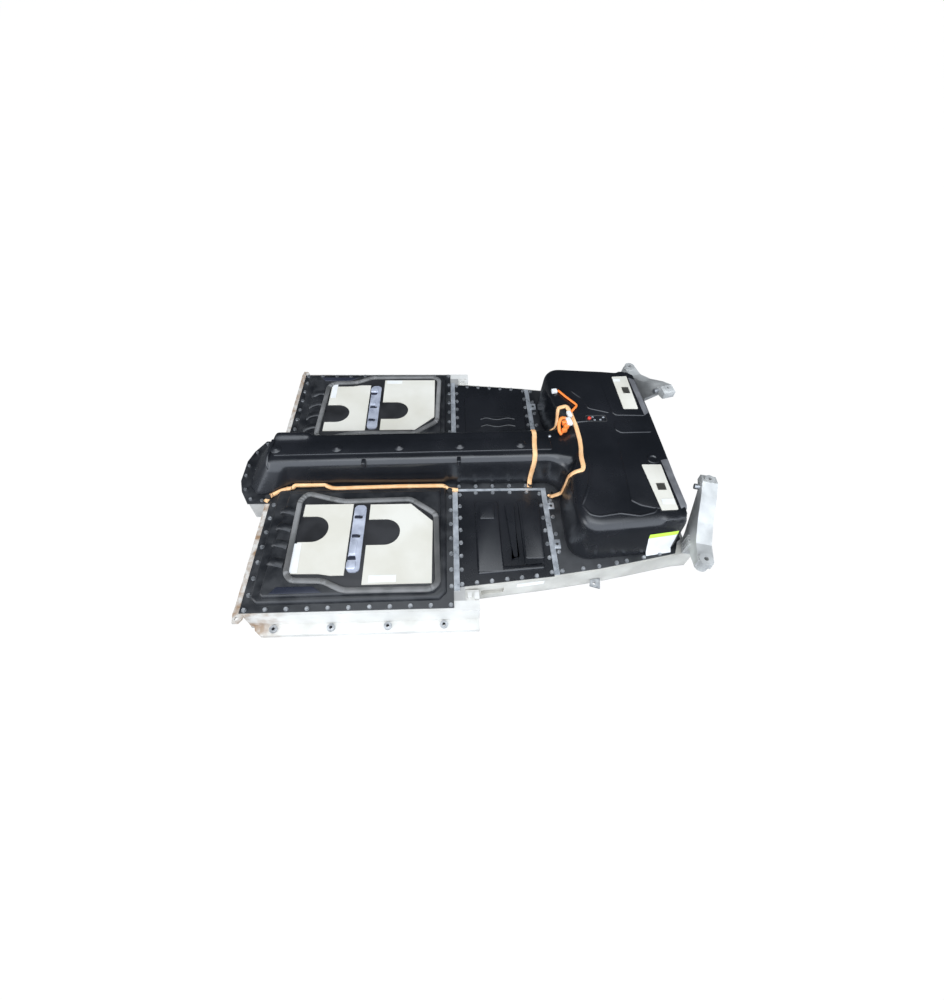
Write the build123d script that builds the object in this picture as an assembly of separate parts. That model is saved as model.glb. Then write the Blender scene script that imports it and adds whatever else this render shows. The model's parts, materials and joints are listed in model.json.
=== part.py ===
from build123d import *
import math
import os

# Underfloor traction battery pack: aluminium tray of rails on a floor plate, one
# moulded cover over front blocks, tunnel and rear box, two foot-well covers,
# cast rear arms, wiring and the cells inside.  Millimetres.  +X runs from the
# nose to the rear, +Z is up, the tray stands on Z = 0, Y = 0 is the middle.

# ---- heights ----
FLOOR_T = 5.0
RAIL_TOP = 115.0
GASKET_T = 2.0
COVER_T = 3.0
FLANGE_BASE = RAIL_TOP + GASKET_T
FLANGE_TOP = FLANGE_BASE + COVER_T
BLOCK_H = 32.0
BEAD_H = 13.0
TUNNEL_H = 166.0
BOX_H = 228.0
# ---- plan of the front blocks ----
FRONT_X = -880.0
BLOCK_X0 = -852.0
BLOCK_X1 = -92.0
FLANGE_REAR_X = -60.0
FLANGE_Y = 700.0
BLOCK_Y0 = 128.0
BLOCK_Y1 = 668.0
# ---- tray ----
RAIL_FRONT_X = -910.0
SIDE_RAIL_X0 = -872.0
SIDE_RAIL_X1 = 42.0
SIDE_RAIL_Y0 = 672.0
SIDE_RAIL_Y1 = 712.0
LEDGE_Y = 756.0
LEDGE_TOP = 20.0
FLOOR_Y = 715.0
NOSE_X = -1050.0
NOSE_Y = 185.0
REAR_X = 960.0
CROSS1_X0 = -80.0
CROSS1_X1 = -15.0
CROSS2_X0 = 345.0
CROSS2_X1 = 425.0
TUNNEL_RAIL_Y0 = 95.0
TUNNEL_RAIL_Y1 = 135.0
REAR_RAIL_W = 45.0
REAR_RAIL = [(-15.0, 624.0), (45.0, 618.0), (337.0, 586.0), (553.0, 556.0), (733.0, 523.0), (921.0, 487.0), (985.0, 482.0)]
# ---- foot-well covers and seam bars ----
BAR_W = 24.0
BAR_T = 6.0
BAR1_X = -47.0
BAR2_X = 370.0
BAR_IN_Y = 132.0
BAR_IN_W = 14.0
FOOT_X0 = BAR1_X + BAR_W / 2
FOOT_X1 = BAR2_X - BAR_W / 2
FOOT_Y0 = BAR_IN_Y + BAR_IN_W / 2
# ---- body mounts on the ledge ----
BUSH_X0 = -778.0
BUSH_PITCH = 225.5
BUSH_COUNT = 4
BUSH_Y = 731.0
BUSH_R = 11.0
BUSH_COLLAR_R = 16.0
BUSH_COLLAR_T = 7.0
BUSH_BORE_R = 6.5
BUSH_CLEAR = 0.3
# ---- rear arms ----
ARM_RING_X = 932.0
ARM_RING_Y = 592.0
ARM_RING_Z = 250.0
ARM_RING_R = 27.0
ARM_RING_H = 60.0
ARM_RING_LOW = -38.0
ARM_PAD_LOW = 84.0
ARM_PAD_H = 50.0
ARM_PAD_R = 20.0
ARM_BORE_R = 9.0
ARM_TURN = 14.5
ARM_W = 62.0
ARM_PAD_U = 318.0
ARM_PAD_BORE_R = 6.5
# ---- bolts ----
BOLT_AF = 13.0
BOLT_H = 7.0
# ---- harness ----
HARNESS_R = 8.0
HARNESS_GAP = 0.5


def lerp_y(x, pts):
    for (x0, y0), (x1, y1) in zip(pts, pts[1:]):
        if x0 <= x <= x1:
            return y0 + (y1 - y0) * (x - x0) / (x1 - x0)
    return pts[-1][1]


def anticlockwise(points):
    area = sum(x0 * y1 - x1 * y0 for (x0, y0), (x1, y1) in zip(points, points[1:] + points[:1]))
    return list(points) if area > 0 else list(reversed(points))


def prism(points, z0, z1, taper=0.0, round_r=0.0):
    points = anticlockwise(points)
    with BuildPart() as p:
        with BuildSketch(Plane.XY.offset(z0)) as s:
            with BuildLine():
                Polyline(*points, close=True)
            make_face()
            if round_r:
                fillet(s.vertices(), round_r)
        extrude(amount=z1 - z0, taper=taper)
    return p.part


def block(x0, x1, y0, y1, z0, z1):
    return Pos((x0 + x1) / 2, (y0 + y1) / 2, (z0 + z1) / 2) * Box(x1 - x0, abs(y1 - y0), z1 - z0)


def cyl(x, y, z0, z1, r):
    return Pos(x, y, (z0 + z1) / 2) * Cylinder(r, z1 - z0)


def both(half):
    return half + [(x, -y) for x, y in reversed(half)]


def side(points, s):
    return [(x, s * y) for x, y in points]


def flip(shape):
    return mirror(shape, about=Plane.XZ)


NODES = {}


def keep(name, *shapes):
    solids = [q for sh in shapes for q in sh.solids()]
    NODES[name] = solids


def pair(name, left):
    # left is built at +Y; the other hand is its mirror image
    keep(name + "_left", left)
    keep(name + "_right", flip(left))


# ---------------------------------------------------------------- tray
REAR_OUT = [(x, y) for x, y in REAR_RAIL]
REAR_IN = [(x, y - REAR_RAIL_W) for x, y in REAR_RAIL]

floor_half = [(-1045.0, 0.0), (-1045.0, 60.0), (-1025.0, 120.0), (-985.0, NOSE_Y), (RAIL_FRONT_X, NOSE_Y)]
floor_half += [(RAIL_FRONT_X, SIDE_RAIL_Y0), (SIDE_RAIL_X0, FLOOR_Y), (SIDE_RAIL_X1, FLOOR_Y)]
floor_half += [(x, y) for x, y in REAR_OUT[1:]] + [(985.0, 0.0)]
floor_pts = floor_half[1:-1]
keep("floor_plate", prism(both(floor_pts), 0, FLOOR_T))

profile = [
    (SIDE_RAIL_Y0, FLOOR_T),
    (SIDE_RAIL_Y0, RAIL_TOP),
    (SIDE_RAIL_Y1, RAIL_TOP),
    (SIDE_RAIL_Y1, LEDGE_TOP),
    (LEDGE_Y, LEDGE_TOP),
    (LEDGE_Y, 0.0),
    (FLOOR_Y, 0.0),
    (FLOOR_Y, FLOOR_T),
]
with BuildPart() as rail:
    with BuildSketch(Plane(origin=(SIDE_RAIL_X0, 0, 0), x_dir=(0, 1, 0), z_dir=(1, 0, 0))):
        with BuildLine():
            Polyline(*profile, close=True)
        make_face()
    extrude(amount=SIDE_RAIL_X1 - SIDE_RAIL_X0)
side_rail = rail.part
# the ledge's front corner is cut back
cut_pts = [(-880.0, 713.0), (-880.0, 760.0), (-820.0, 760.0), (-850.0, 735.0), (-858.0, 713.0)]
side_rail -= prism(cut_pts, -1, LEDGE_TOP + 1)
bush_x = [BUSH_X0 + i * BUSH_PITCH for i in range(BUSH_COUNT)]
for x in bush_x:
    side_rail -= cyl(x, BUSH_Y, -1, LEDGE_TOP + 1, BUSH_R + BUSH_CLEAR)
pair("side_rail", side_rail)

bushes = []
for x in bush_x:
    b = cyl(x, BUSH_Y, 0, LEDGE_TOP, BUSH_R) + cyl(x, BUSH_Y, LEDGE_TOP, LEDGE_TOP + BUSH_COLLAR_T, BUSH_COLLAR_R)
    b -= cyl(x, BUSH_Y, -1, LEDGE_TOP + BUSH_COLLAR_T + 1, BUSH_BORE_R)
    bushes += [b, flip(b)]
keep("mount_bushes", *bushes)

end_block = block(CROSS1_X1, SIDE_RAIL_X1, lerp_y(SIDE_RAIL_X1, REAR_RAIL) + 6, SIDE_RAIL_Y0, FLOOR_T, RAIL_TOP - 8)
end_block += block(-5.0, 12.0, 640.0, 660.0, RAIL_TOP - 8, RAIL_TOP + 6)
end_block += block(22.0, SIDE_RAIL_X1, 636.0, 666.0, RAIL_TOP - 8, RAIL_TOP)
pair("rail_end_block", end_block)

keep("front_cross_rail", block(RAIL_FRONT_X, BLOCK_X0 - 4, -SIDE_RAIL_Y0, SIDE_RAIL_Y0, FLOOR_T, RAIL_TOP))

corner = prism([(-912.0, 700.0), (-906.0, 738.0), (-884.0, 738.0), (SIDE_RAIL_X0, 722.0), (SIDE_RAIL_X0, SIDE_RAIL_Y0 + 0.0), (RAIL_FRONT_X, SIDE_RAIL_Y0)], RAIL_TOP - 10, RAIL_TOP)
corner -= block(-920, BLOCK_X0 - 4, 600, SIDE_RAIL_Y0, 0, RAIL_TOP + 1)
corner -= cyl(-894.0, 720.0, 0, RAIL_TOP + 1, BUSH_BORE_R)
pair("corner_bracket", corner)

pair("cross_rail_front", block(CROSS1_X0, CROSS1_X1, TUNNEL_RAIL_Y0, SIDE_RAIL_Y0, FLOOR_T, RAIL_TOP))
rear_cross_pts = [(CROSS2_X0, TUNNEL_RAIL_Y0), (CROSS2_X0, lerp_y(CROSS2_X0, REAR_IN))]
rear_cross_pts += [(CROSS2_X1, lerp_y(CROSS2_X1, REAR_IN)), (CROSS2_X1, TUNNEL_RAIL_Y0)]
pair("cross_rail_rear", prism(rear_cross_pts, FLOOR_T, RAIL_TOP))
pair("tunnel_rail", block(CROSS1_X1, CROSS2_X0, TUNNEL_RAIL_Y0, TUNNEL_RAIL_Y1, FLOOR_T, RAIL_TOP))

rear_rail = prism(REAR_OUT + list(reversed(REAR_IN)), FLOOR_T, RAIL_TOP)
# hand opening low in the outer face just behind the front blocks
window = block(52.0, 148.0, 560.0, 640.0, 38.0, 82.0)
window_floor = block(52.0, 148.0, 560.0, 596.0, 38.0, 82.0)
rear_rail -= window - window_floor
pair("rear_side_rail", rear_rail)
back_x0 = 905.0
back_pts = [(back_x0, lerp_y(back_x0, REAR_IN)), (921.0, lerp_y(921.0, REAR_IN)), (REAR_X, lerp_y(REAR_X, REAR_IN))]
keep("rear_cross_rail", prism(both(back_pts), FLOOR_T, RAIL_TOP))

nose_out = [(RAIL_FRONT_X, NOSE_Y), (-985.0, NOSE_Y), (-1025.0, 120.0), (-1045.0, 60.0)]
nose_in = [(RAIL_FRONT_X, NOSE_Y - 30), (-970.0, NOSE_Y - 30), (-1000.0, 105.0), (-1015.0, 50.0)]
keep("nose_rail", prism(both(nose_out), FLOOR_T, RAIL_TOP) - prism(both(nose_in), 0, RAIL_TOP + 1))

# ---------------------------------------------------------------- main cover
flange_half = [(NOSE_X, 60.0), (-1030.0, 122.0), (-988.0, 190.0), (FRONT_X, 190.0), (FRONT_X, FLANGE_Y)]
flange_half += [(FLANGE_REAR_X, FLANGE_Y), (FLANGE_REAR_X, 124.0), (383.0, 124.0), (383.0, 570.0)]
flange_half += [(553.0, 548.0), (733.0, 516.0), (900.0, 484.0), (925.0, 430.0), (945.0, 415.0)]


def block_half(d, h):
    c = 28.0
    x0, x1, y0, y1 = BLOCK_X0 + d, BLOCK_X1 - d, BLOCK_Y0 + d, BLOCK_Y1 - d
    pts = [(x0, y0), (x1, y0), (x1, y1 - c), (x1 - c, y1), (x0 + c, y1), (x0, y1 - c / 2)]
    return prism(pts, FLANGE_BASE - 1, FLANGE_BASE + h, taper=18)


def tunnel(d, h):
    w0, w1 = 96.0 - d, 80.0 - d
    prof = [(-w0, FLANGE_BASE - 1), (-w1, h - 16), (-w1 + 16, h), (w1 - 16, h), (w1, h - 16), (w0, FLANGE_BASE - 1)]
    with BuildPart() as p:
        with BuildSketch(Plane(origin=(-885.0 + d, 0, 0), x_dir=(0, 1, 0), z_dir=(1, 0, 0))):
            with BuildLine():
                Polyline(*prof, close=True)
            make_face()
        extrude(amount=1400.0 - 2 * d)
    return p.part


def nose(d, h):
    side_pts = [(-1010.0 + d, FLANGE_BASE - 1), (-1004.0 + d, FLANGE_BASE + 26 - d), (-885.0 + d, h), (-840.0, h), (-840.0, FLANGE_BASE - 1)]
    with BuildPart() as p:
        with BuildSketch(Plane(origin=(0, 150.0 - d, 0), x_dir=(1, 0, 0), z_dir=(0, -1, 0))):
            with BuildLine():
                Polyline(*side_pts, close=True)
            make_face()
        extrude(amount=300.0 - 2 * d)
    trim = prism(both([(-1020.0, 60.0), (-1000.0, 110.0), (-960.0, 150.0 - d), (-885.0, 84.0 - d), (-840.0, 80.0 - d)]), 0, 400)
    return p.part & trim


def corner_arc(prev, here, after, r, n):
    # points of an arc of radius r that rounds the corner at "here"
    v0 = Vector(prev[0] - here[0], prev[1] - here[1]).normalized()
    v1 = Vector(after[0] - here[0], after[1] - here[1]).normalized()
    half = math.acos(max(-1.0, min(1.0, v0.dot(v1)))) / 2
    mid = (v0 + v1).normalized()
    centre = Vector(here[0], here[1]) + mid * (r / math.sin(half))
    a0 = Vector(here[0], here[1]) + v0 * (r / math.tan(half)) - centre
    a1 = Vector(here[0], here[1]) + v1 * (r / math.tan(half)) - centre
    turn = math.atan2(a0.X * a1.Y - a0.Y * a1.X, a0.dot(a1))
    out = []
    for i in range(n + 1):
        t = turn * i / n
        x = a0.X * math.cos(t) - a0.Y * math.sin(t)
        y = a0.X * math.sin(t) + a0.Y * math.cos(t)
        out.append((centre.X + x, centre.Y + y))
    return out


def rounded(points, radii, n=3):
    out = []
    count = len(points)
    for i, p in enumerate(points):
        r = radii.get(i, 0.0)
        if r:
            out += corner_arc(points[i - 1], p, points[(i + 1) % count], r, n)
        else:
            out.append(p)
    return out


def inset(points, d):
    # mitred inset of a closed outline that runs anticlockwise
    out = []
    count = len(points)
    for i, (x, y) in enumerate(points):
        x0, y0 = points[i - 1]
        x1, y1 = points[(i + 1) % count]
        n0 = Vector(-(y - y0), x - x0).normalized()
        n1 = Vector(-(y1 - y), x1 - x).normalized()
        m = (n0 + n1).normalized()
        k = d / max(0.2, m.dot(n0))
        out.append((x + m.X * k, y + m.Y * k))
    return out


def stack(points, levels):
    wires = []
    for z, d in levels:
        ring = inset(points, d) if d else points
        wires.append(Polyline(*[(x, y, z) for x, y in ring], close=True))
    with BuildPart() as p:
        for w in wires:
            with BuildSketch(Plane.XY.offset(w.center().Z)):
                add(make_face(Pos(0, 0, -w.center().Z) * w))
        loft(ruled=True)
    return p.part


BOX_HALF = [(500.0, 85.0), (440.0, 200.0), (430.0, 330.0), (430.0, 516.0), (742.0, 490.0), (902.0, 468.0), (914.0, 110.0)]


def rear_box(d, h, r):
    half = rounded([(500.0, 0.0)] + BOX_HALF + [(914.0, 0.0)], {4: 80.0, 6: 84.0})[1:-1]
    pts = anticlockwise(both(half))
    lean = math.tan(math.radians(7.0))
    levels = [(FLANGE_BASE - 1, d)]
    for a in (0, 30, 60, 90):
        z = FLANGE_BASE + h - r + r * math.sin(math.radians(a))
        levels.append((z, d + (h - r) * lean + r * (1 - math.cos(math.radians(a)))))
    return stack(pts, levels)


outer = rear_box(0.0, BOX_H + COVER_T, 36.0) + tunnel(0.0, FLANGE_TOP + TUNNEL_H)
outer += nose(0.0, FLANGE_TOP + TUNNEL_H)
inner = rear_box(COVER_T, BOX_H, 33.0) + tunnel(COVER_T, FLANGE_TOP + TUNNEL_H - COVER_T)
inner += nose(COVER_T, FLANGE_TOP + TUNNEL_H - COVER_T)
left_block = block_half(0.0, BLOCK_H + COVER_T)
left_inner = block_half(COVER_T, BLOCK_H)
shell = prism(both(flange_half), FLANGE_BASE, FLANGE_TOP) + outer + left_block + flip(left_block)
shell -= inner
shell -= left_inner
shell -= flip(left_inner)
shell &= block(-1200, 1200, -900, 900, FLANGE_BASE, 600)

# bead frame round each plate recess, its outline stepped in at the strap
BEAD = [
    (-700.0, 170.0), (-608.0, 195.0), (-540.0, 210.0), (-247.0, 206.0), (-134.0, 287.0), (-124.0, 613.0),
    (-152.0, 637.0), (-496.0, 634.0), (-579.0, 592.0), (-706.0, 588.0), (-734.0, 560.0), (-738.0, 205.0),
]
BEAD_W = 18.0
BEAD_BASE = FLANGE_TOP + BLOCK_H
with BuildPart() as bead:
    with BuildSketch(Plane.XY.offset(BEAD_BASE)) as sk:
        with BuildLine():
            Polyline(*BEAD, close=True)
        make_face()
        offset(amount=BEAD_W / 2, kind=Kind.INTERSECTION)
        with BuildLine():
            Polyline(*BEAD, close=True)
        with BuildSketch(mode=Mode.PRIVATE) as hole:
            with BuildLine():
                Polyline(*BEAD, close=True)
            make_face()
            offset(amount=-BEAD_W / 2, kind=Kind.INTERSECTION)
        add(hole.sketch, mode=Mode.SUBTRACT)
    extrude(amount=BEAD_H)
ribs = [prism([(-781.0, y), (-742.0, y - 10), (-742.0, y + 8), (-781.0, y + 14)], BEAD_BASE, BEAD_BASE + 8) for y in (254, 338, 420, 504)]
facet = prism([(-778.0, 640.0), (-755.0, 611.0), (-615.0, 611.0), (-580.0, 640.0)], BEAD_BASE, BEAD_BASE + 5)
for extra in [bead.part, facet] + ribs:
    shell += extra
    shell += flip(extra)
# raised panels on the rear box and the rounded bosses along the tunnel top
BOX_TOP = FLANGE_BASE + BOX_H + COVER_T
PANEL_T = 5.0
shell += prism([(662.0, -380.0), (700.0, -24.0), (845.0, -10.0), (838.0, -384.0)], BOX_TOP, BOX_TOP + PANEL_T, round_r=16)
shell += prism([(699.0, 398.0), (703.0, 128.0), (838.0, 121.0), (832.0, 398.0)], BOX_TOP, BOX_TOP + PANEL_T, round_r=16)
shell += block(700.0, 860.0, 12.0, 90.0, BOX_TOP, BOX_TOP + PANEL_T)
TUNNEL_TOP = FLANGE_TOP + TUNNEL_H
shell += block(-860.0, 400.0, -38.0, 38.0, TUNNEL_TOP, TUNNEL_TOP + 6)
# pocket for the service port
PORT_X0, PORT_X1, PORT_Y0, PORT_Y1 = 576.0, 664.0, 92.0, 126.0
port_hole = block(PORT_X0, PORT_X1, PORT_Y0, PORT_Y1, BOX_TOP - 20, BOX_TOP + 1)
shell -= port_hole
keep("main_cover", shell)

gasket_in = [(-1004.0, 40.0), (-985.0, 100.0), (-950.0, 140.0), (FRONT_X + 26, 140.0), (FRONT_X + 26, FLANGE_Y - 30)]
gasket_in += [(-84.0, FLANGE_Y - 30), (-84.0, 97.0), (420.0, 97.0), (428.0, 474.0), (486.0, 524.0)]
gasket_in += [(562.0, 516.0), (742.0, 492.0), (898.0, 462.0), (916.0, 400.0)]
keep("main_gasket", prism(both(flange_half), RAIL_TOP, FLANGE_BASE) - prism(both(gasket_in), RAIL_TOP - 1, FLANGE_BASE + 1))

# ---------------------------------------------------------------- foot-well covers
foot_outer = [(FOOT_X0, FOOT_Y0), (FOOT_X0, 615.0), (FOOT_X1, 578.0), (FOOT_X1, FOOT_Y0)]
foot = prism(foot_outer, RAIL_TOP, FLANGE_TOP - 1)
foot_inner = [(5.0, 175.0), (5.0, 560.0), (320.0, 530.0), (320.0, 175.0)]
foot -= prism(foot_inner, RAIL_TOP - 1, FLANGE_TOP - 1 - COVER_T)
foot += prism([(40.0, 196.0), (40.0, 548.0), (150.0, 536.0), (150.0, 196.0)], FLANGE_TOP - 1, FLANGE_TOP + 5, taper=30, round_r=14)
foot += prism([(240.0, 196.0), (240.0, 530.0), (325.0, 520.0), (325.0, 196.0)], FLANGE_TOP - 1, FLANGE_TOP + 4, taper=30, round_r=14)
boss = [(176.0, 218.0), (192.0, 494.0), (216.0, 494.0), (224.0, 218.0)]
foot += prism(boss, FLANGE_TOP - 1, FLANGE_TOP + 9, taper=20, round_r=10)
keep("foot_cover_right", flip(foot))
foot_far = prism(foot_outer, RAIL_TOP, FLANGE_TOP - 1)
foot_far -= prism(foot_inner, RAIL_TOP - 1, FLANGE_TOP - 1 - COVER_T)
foot_far += prism([(60.0, 196.0), (316.0, 196.0), (316.0, 498.0), (60.0, 520.0)], FLANGE_TOP - 1, FLANGE_TOP + 5, taper=30, round_r=24)
for y in (290.0, 322.0, 354.0):
    foot_far += prism([(110.0, y), (262.0, y), (262.0, y + 14), (110.0, y + 14)], FLANGE_TOP + 4, FLANGE_TOP + 10)
keep("foot_cover_left", foot_far)

BAR_TOP = RAIL_TOP + BAR_T
BAR_EASE = 0.4
frame_bar = block(BAR1_X - BAR_W / 2 + BAR_EASE, FOOT_X0 - BAR_EASE, 126.0, 630.0, RAIL_TOP, BAR_TOP)
frame_bar += block(FOOT_X1 + BAR_EASE, BAR2_X + BAR_W / 2 - BAR_EASE, 126.0, 572.0, RAIL_TOP, BAR_TOP)
frame_bar += block(FOOT_X0 - 1, FOOT_X1 + 1, 126.0, FOOT_Y0 - BAR_EASE, RAIL_TOP, BAR_TOP)
pair("seam_frame", frame_bar)

# ---------------------------------------------------------------- plates on the covers
PLATE_Z0 = BEAD_BASE
PLATE_T = 4.0


def notch(x_end, y_mid, half, x_open):
    n = block(x_open, x_end - half, y_mid - half, y_mid + half, PLATE_Z0 - 1, PLATE_Z0 + PLATE_T + 1)
    return n + cyl(x_end - half, y_mid, PLATE_Z0 - 1, PLATE_Z0 + PLATE_T + 1, half)


plate_a = prism([(-712.0, 226.0), (-600.0, 226.0), (-500.0, 226.0), (-500.0, 571.0), (-553.0, 571.0), (-601.0, 562.0), (-712.0, 560.0)], PLATE_Z0, PLATE_Z0 + PLATE_T)
plate_a -= notch(-593.0, 352.0, 64.0, -720.0)
pair("front_plate", plate_a)
plate_b = prism([(-425.0, 230.0), (-246.0, 230.0), (-148.0, 322.0), (-148.0, 613.0), (-425.0, 613.0)], PLATE_Z0, PLATE_Z0 + PLATE_T)
plate_b -= notch(-287.0, 372.0, 64.0, -430.0)
pair("middle_plate", plate_b)

STRAP_Z = PLATE_Z0 + PLATE_T
strap = prism([(-492.0, 236.0), (-440.0, 236.0), (-440.0, 560.0), (-492.0, 560.0)], PLATE_Z0, STRAP_Z + 4, round_r=20)
for y in (298.0, 393.0):
    strap -= prism([(-480.0, y - 8), (-452.0, y - 8), (-452.0, y + 8), (-480.0, y + 8)], PLATE_Z0 - 1, STRAP_Z + 6, round_r=6)
pair("strap", strap)

rear_plate = prism([(762.0, 178.0), (846.0, 178.0), (838.0, 392.0), (754.0, 392.0)], BOX_TOP + PANEL_T, BOX_TOP + PANEL_T + 2, round_r=6)
pair("rear_plate", rear_plate)

# ---------------------------------------------------------------- rear arms
# the profile runs along the arm: u from the outer ring to the inner pad; the root
# stands flat on the end of the rear side rail
ARM_ROOT = RAIL_TOP - ARM_RING_Z
ARM_PROFILE = [
    (-16.0, -24.0), (30.0, -44.0), (76.0, -60.0), (106.0, ARM_ROOT), (160.0, ARM_ROOT), (178.0, -86.0), (250.0, 20.0),
    (296.0, 84.0), (344.0, 90.0), (344.0, 122.0), (300.0, 132.0), (240.0, 104.0), (150.0, 48.0), (70.0, 14.0), (-10.0, 16.0),
]
with BuildPart() as arm_b:
    with BuildSketch(Plane(origin=(-ARM_W / 2, 0, 0), x_dir=(0, -1, 0), z_dir=(-1, 0, 0))):
        with BuildLine():
            Polyline(*ARM_PROFILE, close=True)
        make_face()
    extrude(amount=-ARM_W)
arm = arm_b.part
arm += cyl(0, 0, ARM_RING_LOW, ARM_RING_LOW + ARM_RING_H, ARM_RING_R)
arm += cyl(0, -ARM_PAD_U, ARM_PAD_LOW, ARM_PAD_LOW + ARM_PAD_H, ARM_PAD_R)
arm -= cyl(0, 0, -60.0, 60.0, ARM_BORE_R)
arm -= cyl(0, -ARM_PAD_U, 60.0, 160.0, ARM_PAD_BORE_R)
for i in range(4):
    arm += Pos(-ARM_W / 2 - 4, -94.0 - 14.0 * i, -74.0) * Box(8.0, 5.0, 76.0)
arm = Pos(ARM_RING_X, ARM_RING_Y, ARM_RING_Z) * Rot(0, 0, ARM_TURN) * arm
pair("rear_arm", arm)

ARM_FRAME = Pos(ARM_RING_X, ARM_RING_Y, ARM_RING_Z) * Rot(0, 0, ARM_TURN)
front_stud = ARM_FRAME * Pos(-ARM_W / 2 - 11.0, -292.0, 100.0) * Rot(0, 90, 0) * Cylinder(12.0, 22.0)
rear_bolt = ARM_FRAME * Pos(ARM_W / 2 + 5.0, -194.0, -24.0) * Rot(0, 90, 0) * Cylinder(13.0, 10.0)
keep("arm_studs", front_stud, rear_bolt, flip(front_stud), flip(rear_bolt))

# ---------------------------------------------------------------- bolts
HEX = [(BOLT_AF / math.sqrt(3) * math.cos(math.radians(60 * i)), BOLT_AF / math.sqrt(3) * math.sin(math.radians(60 * i))) for i in range(6)]


def row(x0, y0, x1, y1, n):
    return [(x0 + (x1 - x0) * i / (n - 1), y0 + (y1 - y0) * i / (n - 1)) for i in range(n)]


def bolts(name, spots, z):
    heads = []
    for x, y in spots:
        for s in (1, -1):
            heads.append(prism([(x + a, s * y + b) for a, b in HEX], z, z + BOLT_H))
    keep(name, *heads)


main_spots = row(FRONT_X + 10, FLANGE_Y - 10, FLANGE_REAR_X - 12, FLANGE_Y - 10, 11)
main_spots += row(FRONT_X + 13, 200.0, FRONT_X + 13, 630.0, 7)
main_spots += row(FLANGE_REAR_X - 9, 170.0, FLANGE_REAR_X - 9, 612.0, 7)
main_spots += row(-28.0, 111.0, 290.0, 111.0, 5)
main_spots += row(394.0, 200.0, 394.0, 556.0, 5)
main_spots += [(x, y - 9.5) for x, y in [(483.0, 557.1), (553.0, 548.0), (632.0, 534.0), (677.0, 526.0), (755.0, 511.8), (828.0, 497.8)]]
main_spots += row(934.0, 60.0, 934.0, 380.0, 5)
main_spots += [(-1034.0, 30.0), (-1015.0, 112.0), (-978.0, 168.0), (-925.0, 176.0)]
bolts("cover_bolts", main_spots, FLANGE_TOP)

FOOT_TOP = FLANGE_TOP - 1
foot_spots = row(FOOT_X0 + 9, 158.0, FOOT_X0 + 9, 604.0, 8)
foot_spots += [(x, 615.0 - 37.0 * (x - FOOT_X0) / (FOOT_X1 - FOOT_X0) - 10.0) for x in (35.0, 97.0, 160.0, 222.0, 284.0)]
foot_spots += row(50.0, FOOT_Y0 + 9, 290.0, FOOT_Y0 + 9, 4)
foot_spots += row(FOOT_X1 - 9, 158.0, FOOT_X1 - 9, 560.0, 7)
bolts("foot_cover_bolts", foot_spots, FOOT_TOP)

# ---------------------------------------------------------------- small outside pieces
tag = prism([(528.0, 562.0), (572.0, 556.0), (562.0, 604.0), (520.0, 590.0)], 38.0, 44.0, round_r=3)
tag -= cyl(541.0, 580.0, 30, 60, 5.5)
tag -= prism(REAR_OUT + list(reversed(REAR_IN)), 0, RAIL_TOP)
pair("tie_bracket", tag)

vent = cyl(757.0, -128.0, BOX_TOP + PANEL_T, BOX_TOP + PANEL_T + 12, 24.0) + cyl(757.0, -128.0, BOX_TOP + PANEL_T + 12, BOX_TOP + PANEL_T + 18, 15.0)
keep("vent_cap", vent)

port = block(PORT_X0 + 0.5, PORT_X1 - 0.5, PORT_Y0 + 0.5, PORT_Y1 - 0.5, BOX_TOP - 24, BOX_TOP - 16)
port += block(PORT_X0 - 6, PORT_X1 + 6, PORT_Y0 - 4, PORT_Y1 + 6, BOX_TOP - 32, BOX_TOP - 24)
keep("service_port", port)
port_plug = block(582.0, 600.0, 99.0, 117.0, BOX_TOP - 16, BOX_TOP + 4)
keep("service_plug", port_plug)

conn = block(430.0, 474.0, 44.0, 80.0, TUNNEL_TOP, TUNNEL_TOP + 32.0)
keep("power_connector", conn)

# wiring clipped to the cover along all of its way, each run ending in a grommet
Z_LOW = FLANGE_TOP + HARNESS_R + HARNESS_GAP
Z_TUN = TUNNEL_TOP + 6.0 + HARNESS_R + 1.5
Z_BOX = BOX_TOP + HARNESS_R + 2.0


def tube(points, r, bend):
    with BuildPart() as p:
        with BuildLine() as line:
            FilletPolyline(*points, radius=bend)
        with BuildSketch(Plane(line.line @ 0, z_dir=line.line % 0)):
            Circle(r)
        sweep(transition=Transition.ROUND)
    return p.part


RUN1 = [(-896.0, -166.0, Z_LOW), (-866.0, -113.0, Z_LOW), (-84.0, -113.0, Z_LOW), (-72.0, -142.0, Z_LOW)]
RUN2 = [(322.0, 112.0, Z_LOW), (326.0, 91.0, Z_TUN), (320.0, -91.0, Z_TUN), (310.0, -112.0, Z_LOW)]
RUN3 = [
    (400.0, -160.0, Z_LOW), (424.0, -186.0, Z_LOW + 16), (456.0, -186.0, Z_BOX - 10), (500.0, -166.0, Z_BOX + 4),
    (509.0, -108.0, Z_BOX - 16), (507.0, -58.0, Z_TUN), (511.0, 36.0, Z_TUN), (511.0, 112.0, Z_BOX - 16),
    (504.0, 172.0, Z_BOX + 4), (484.0, 226.0, Z_BOX), (444.0, 226.0, Z_BOX - 14), (412.0, 178.0, 246.0), (398.0, 150.0, Z_LOW),
]
GROMMET_R = 12.0
SLEEVE_EASE = 0.3
runs = [(RUN1, 18), (RUN2, 24), (RUN3, 12)]
grommets = []
for run, bend in runs:
    sleeve = tube(run, HARNESS_R + SLEEVE_EASE, bend)
    for x, y, z in (run[0], run[-1]):
        grommets.append(cyl(x, y, FLANGE_TOP, FLANGE_TOP + 2 * HARNESS_R + 3, GROMMET_R) - sleeve)
keep("harness_tunnel", tube(RUN1, HARNESS_R, 18))
keep("harness_cross", tube(RUN2, HARNESS_R, 24))
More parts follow.
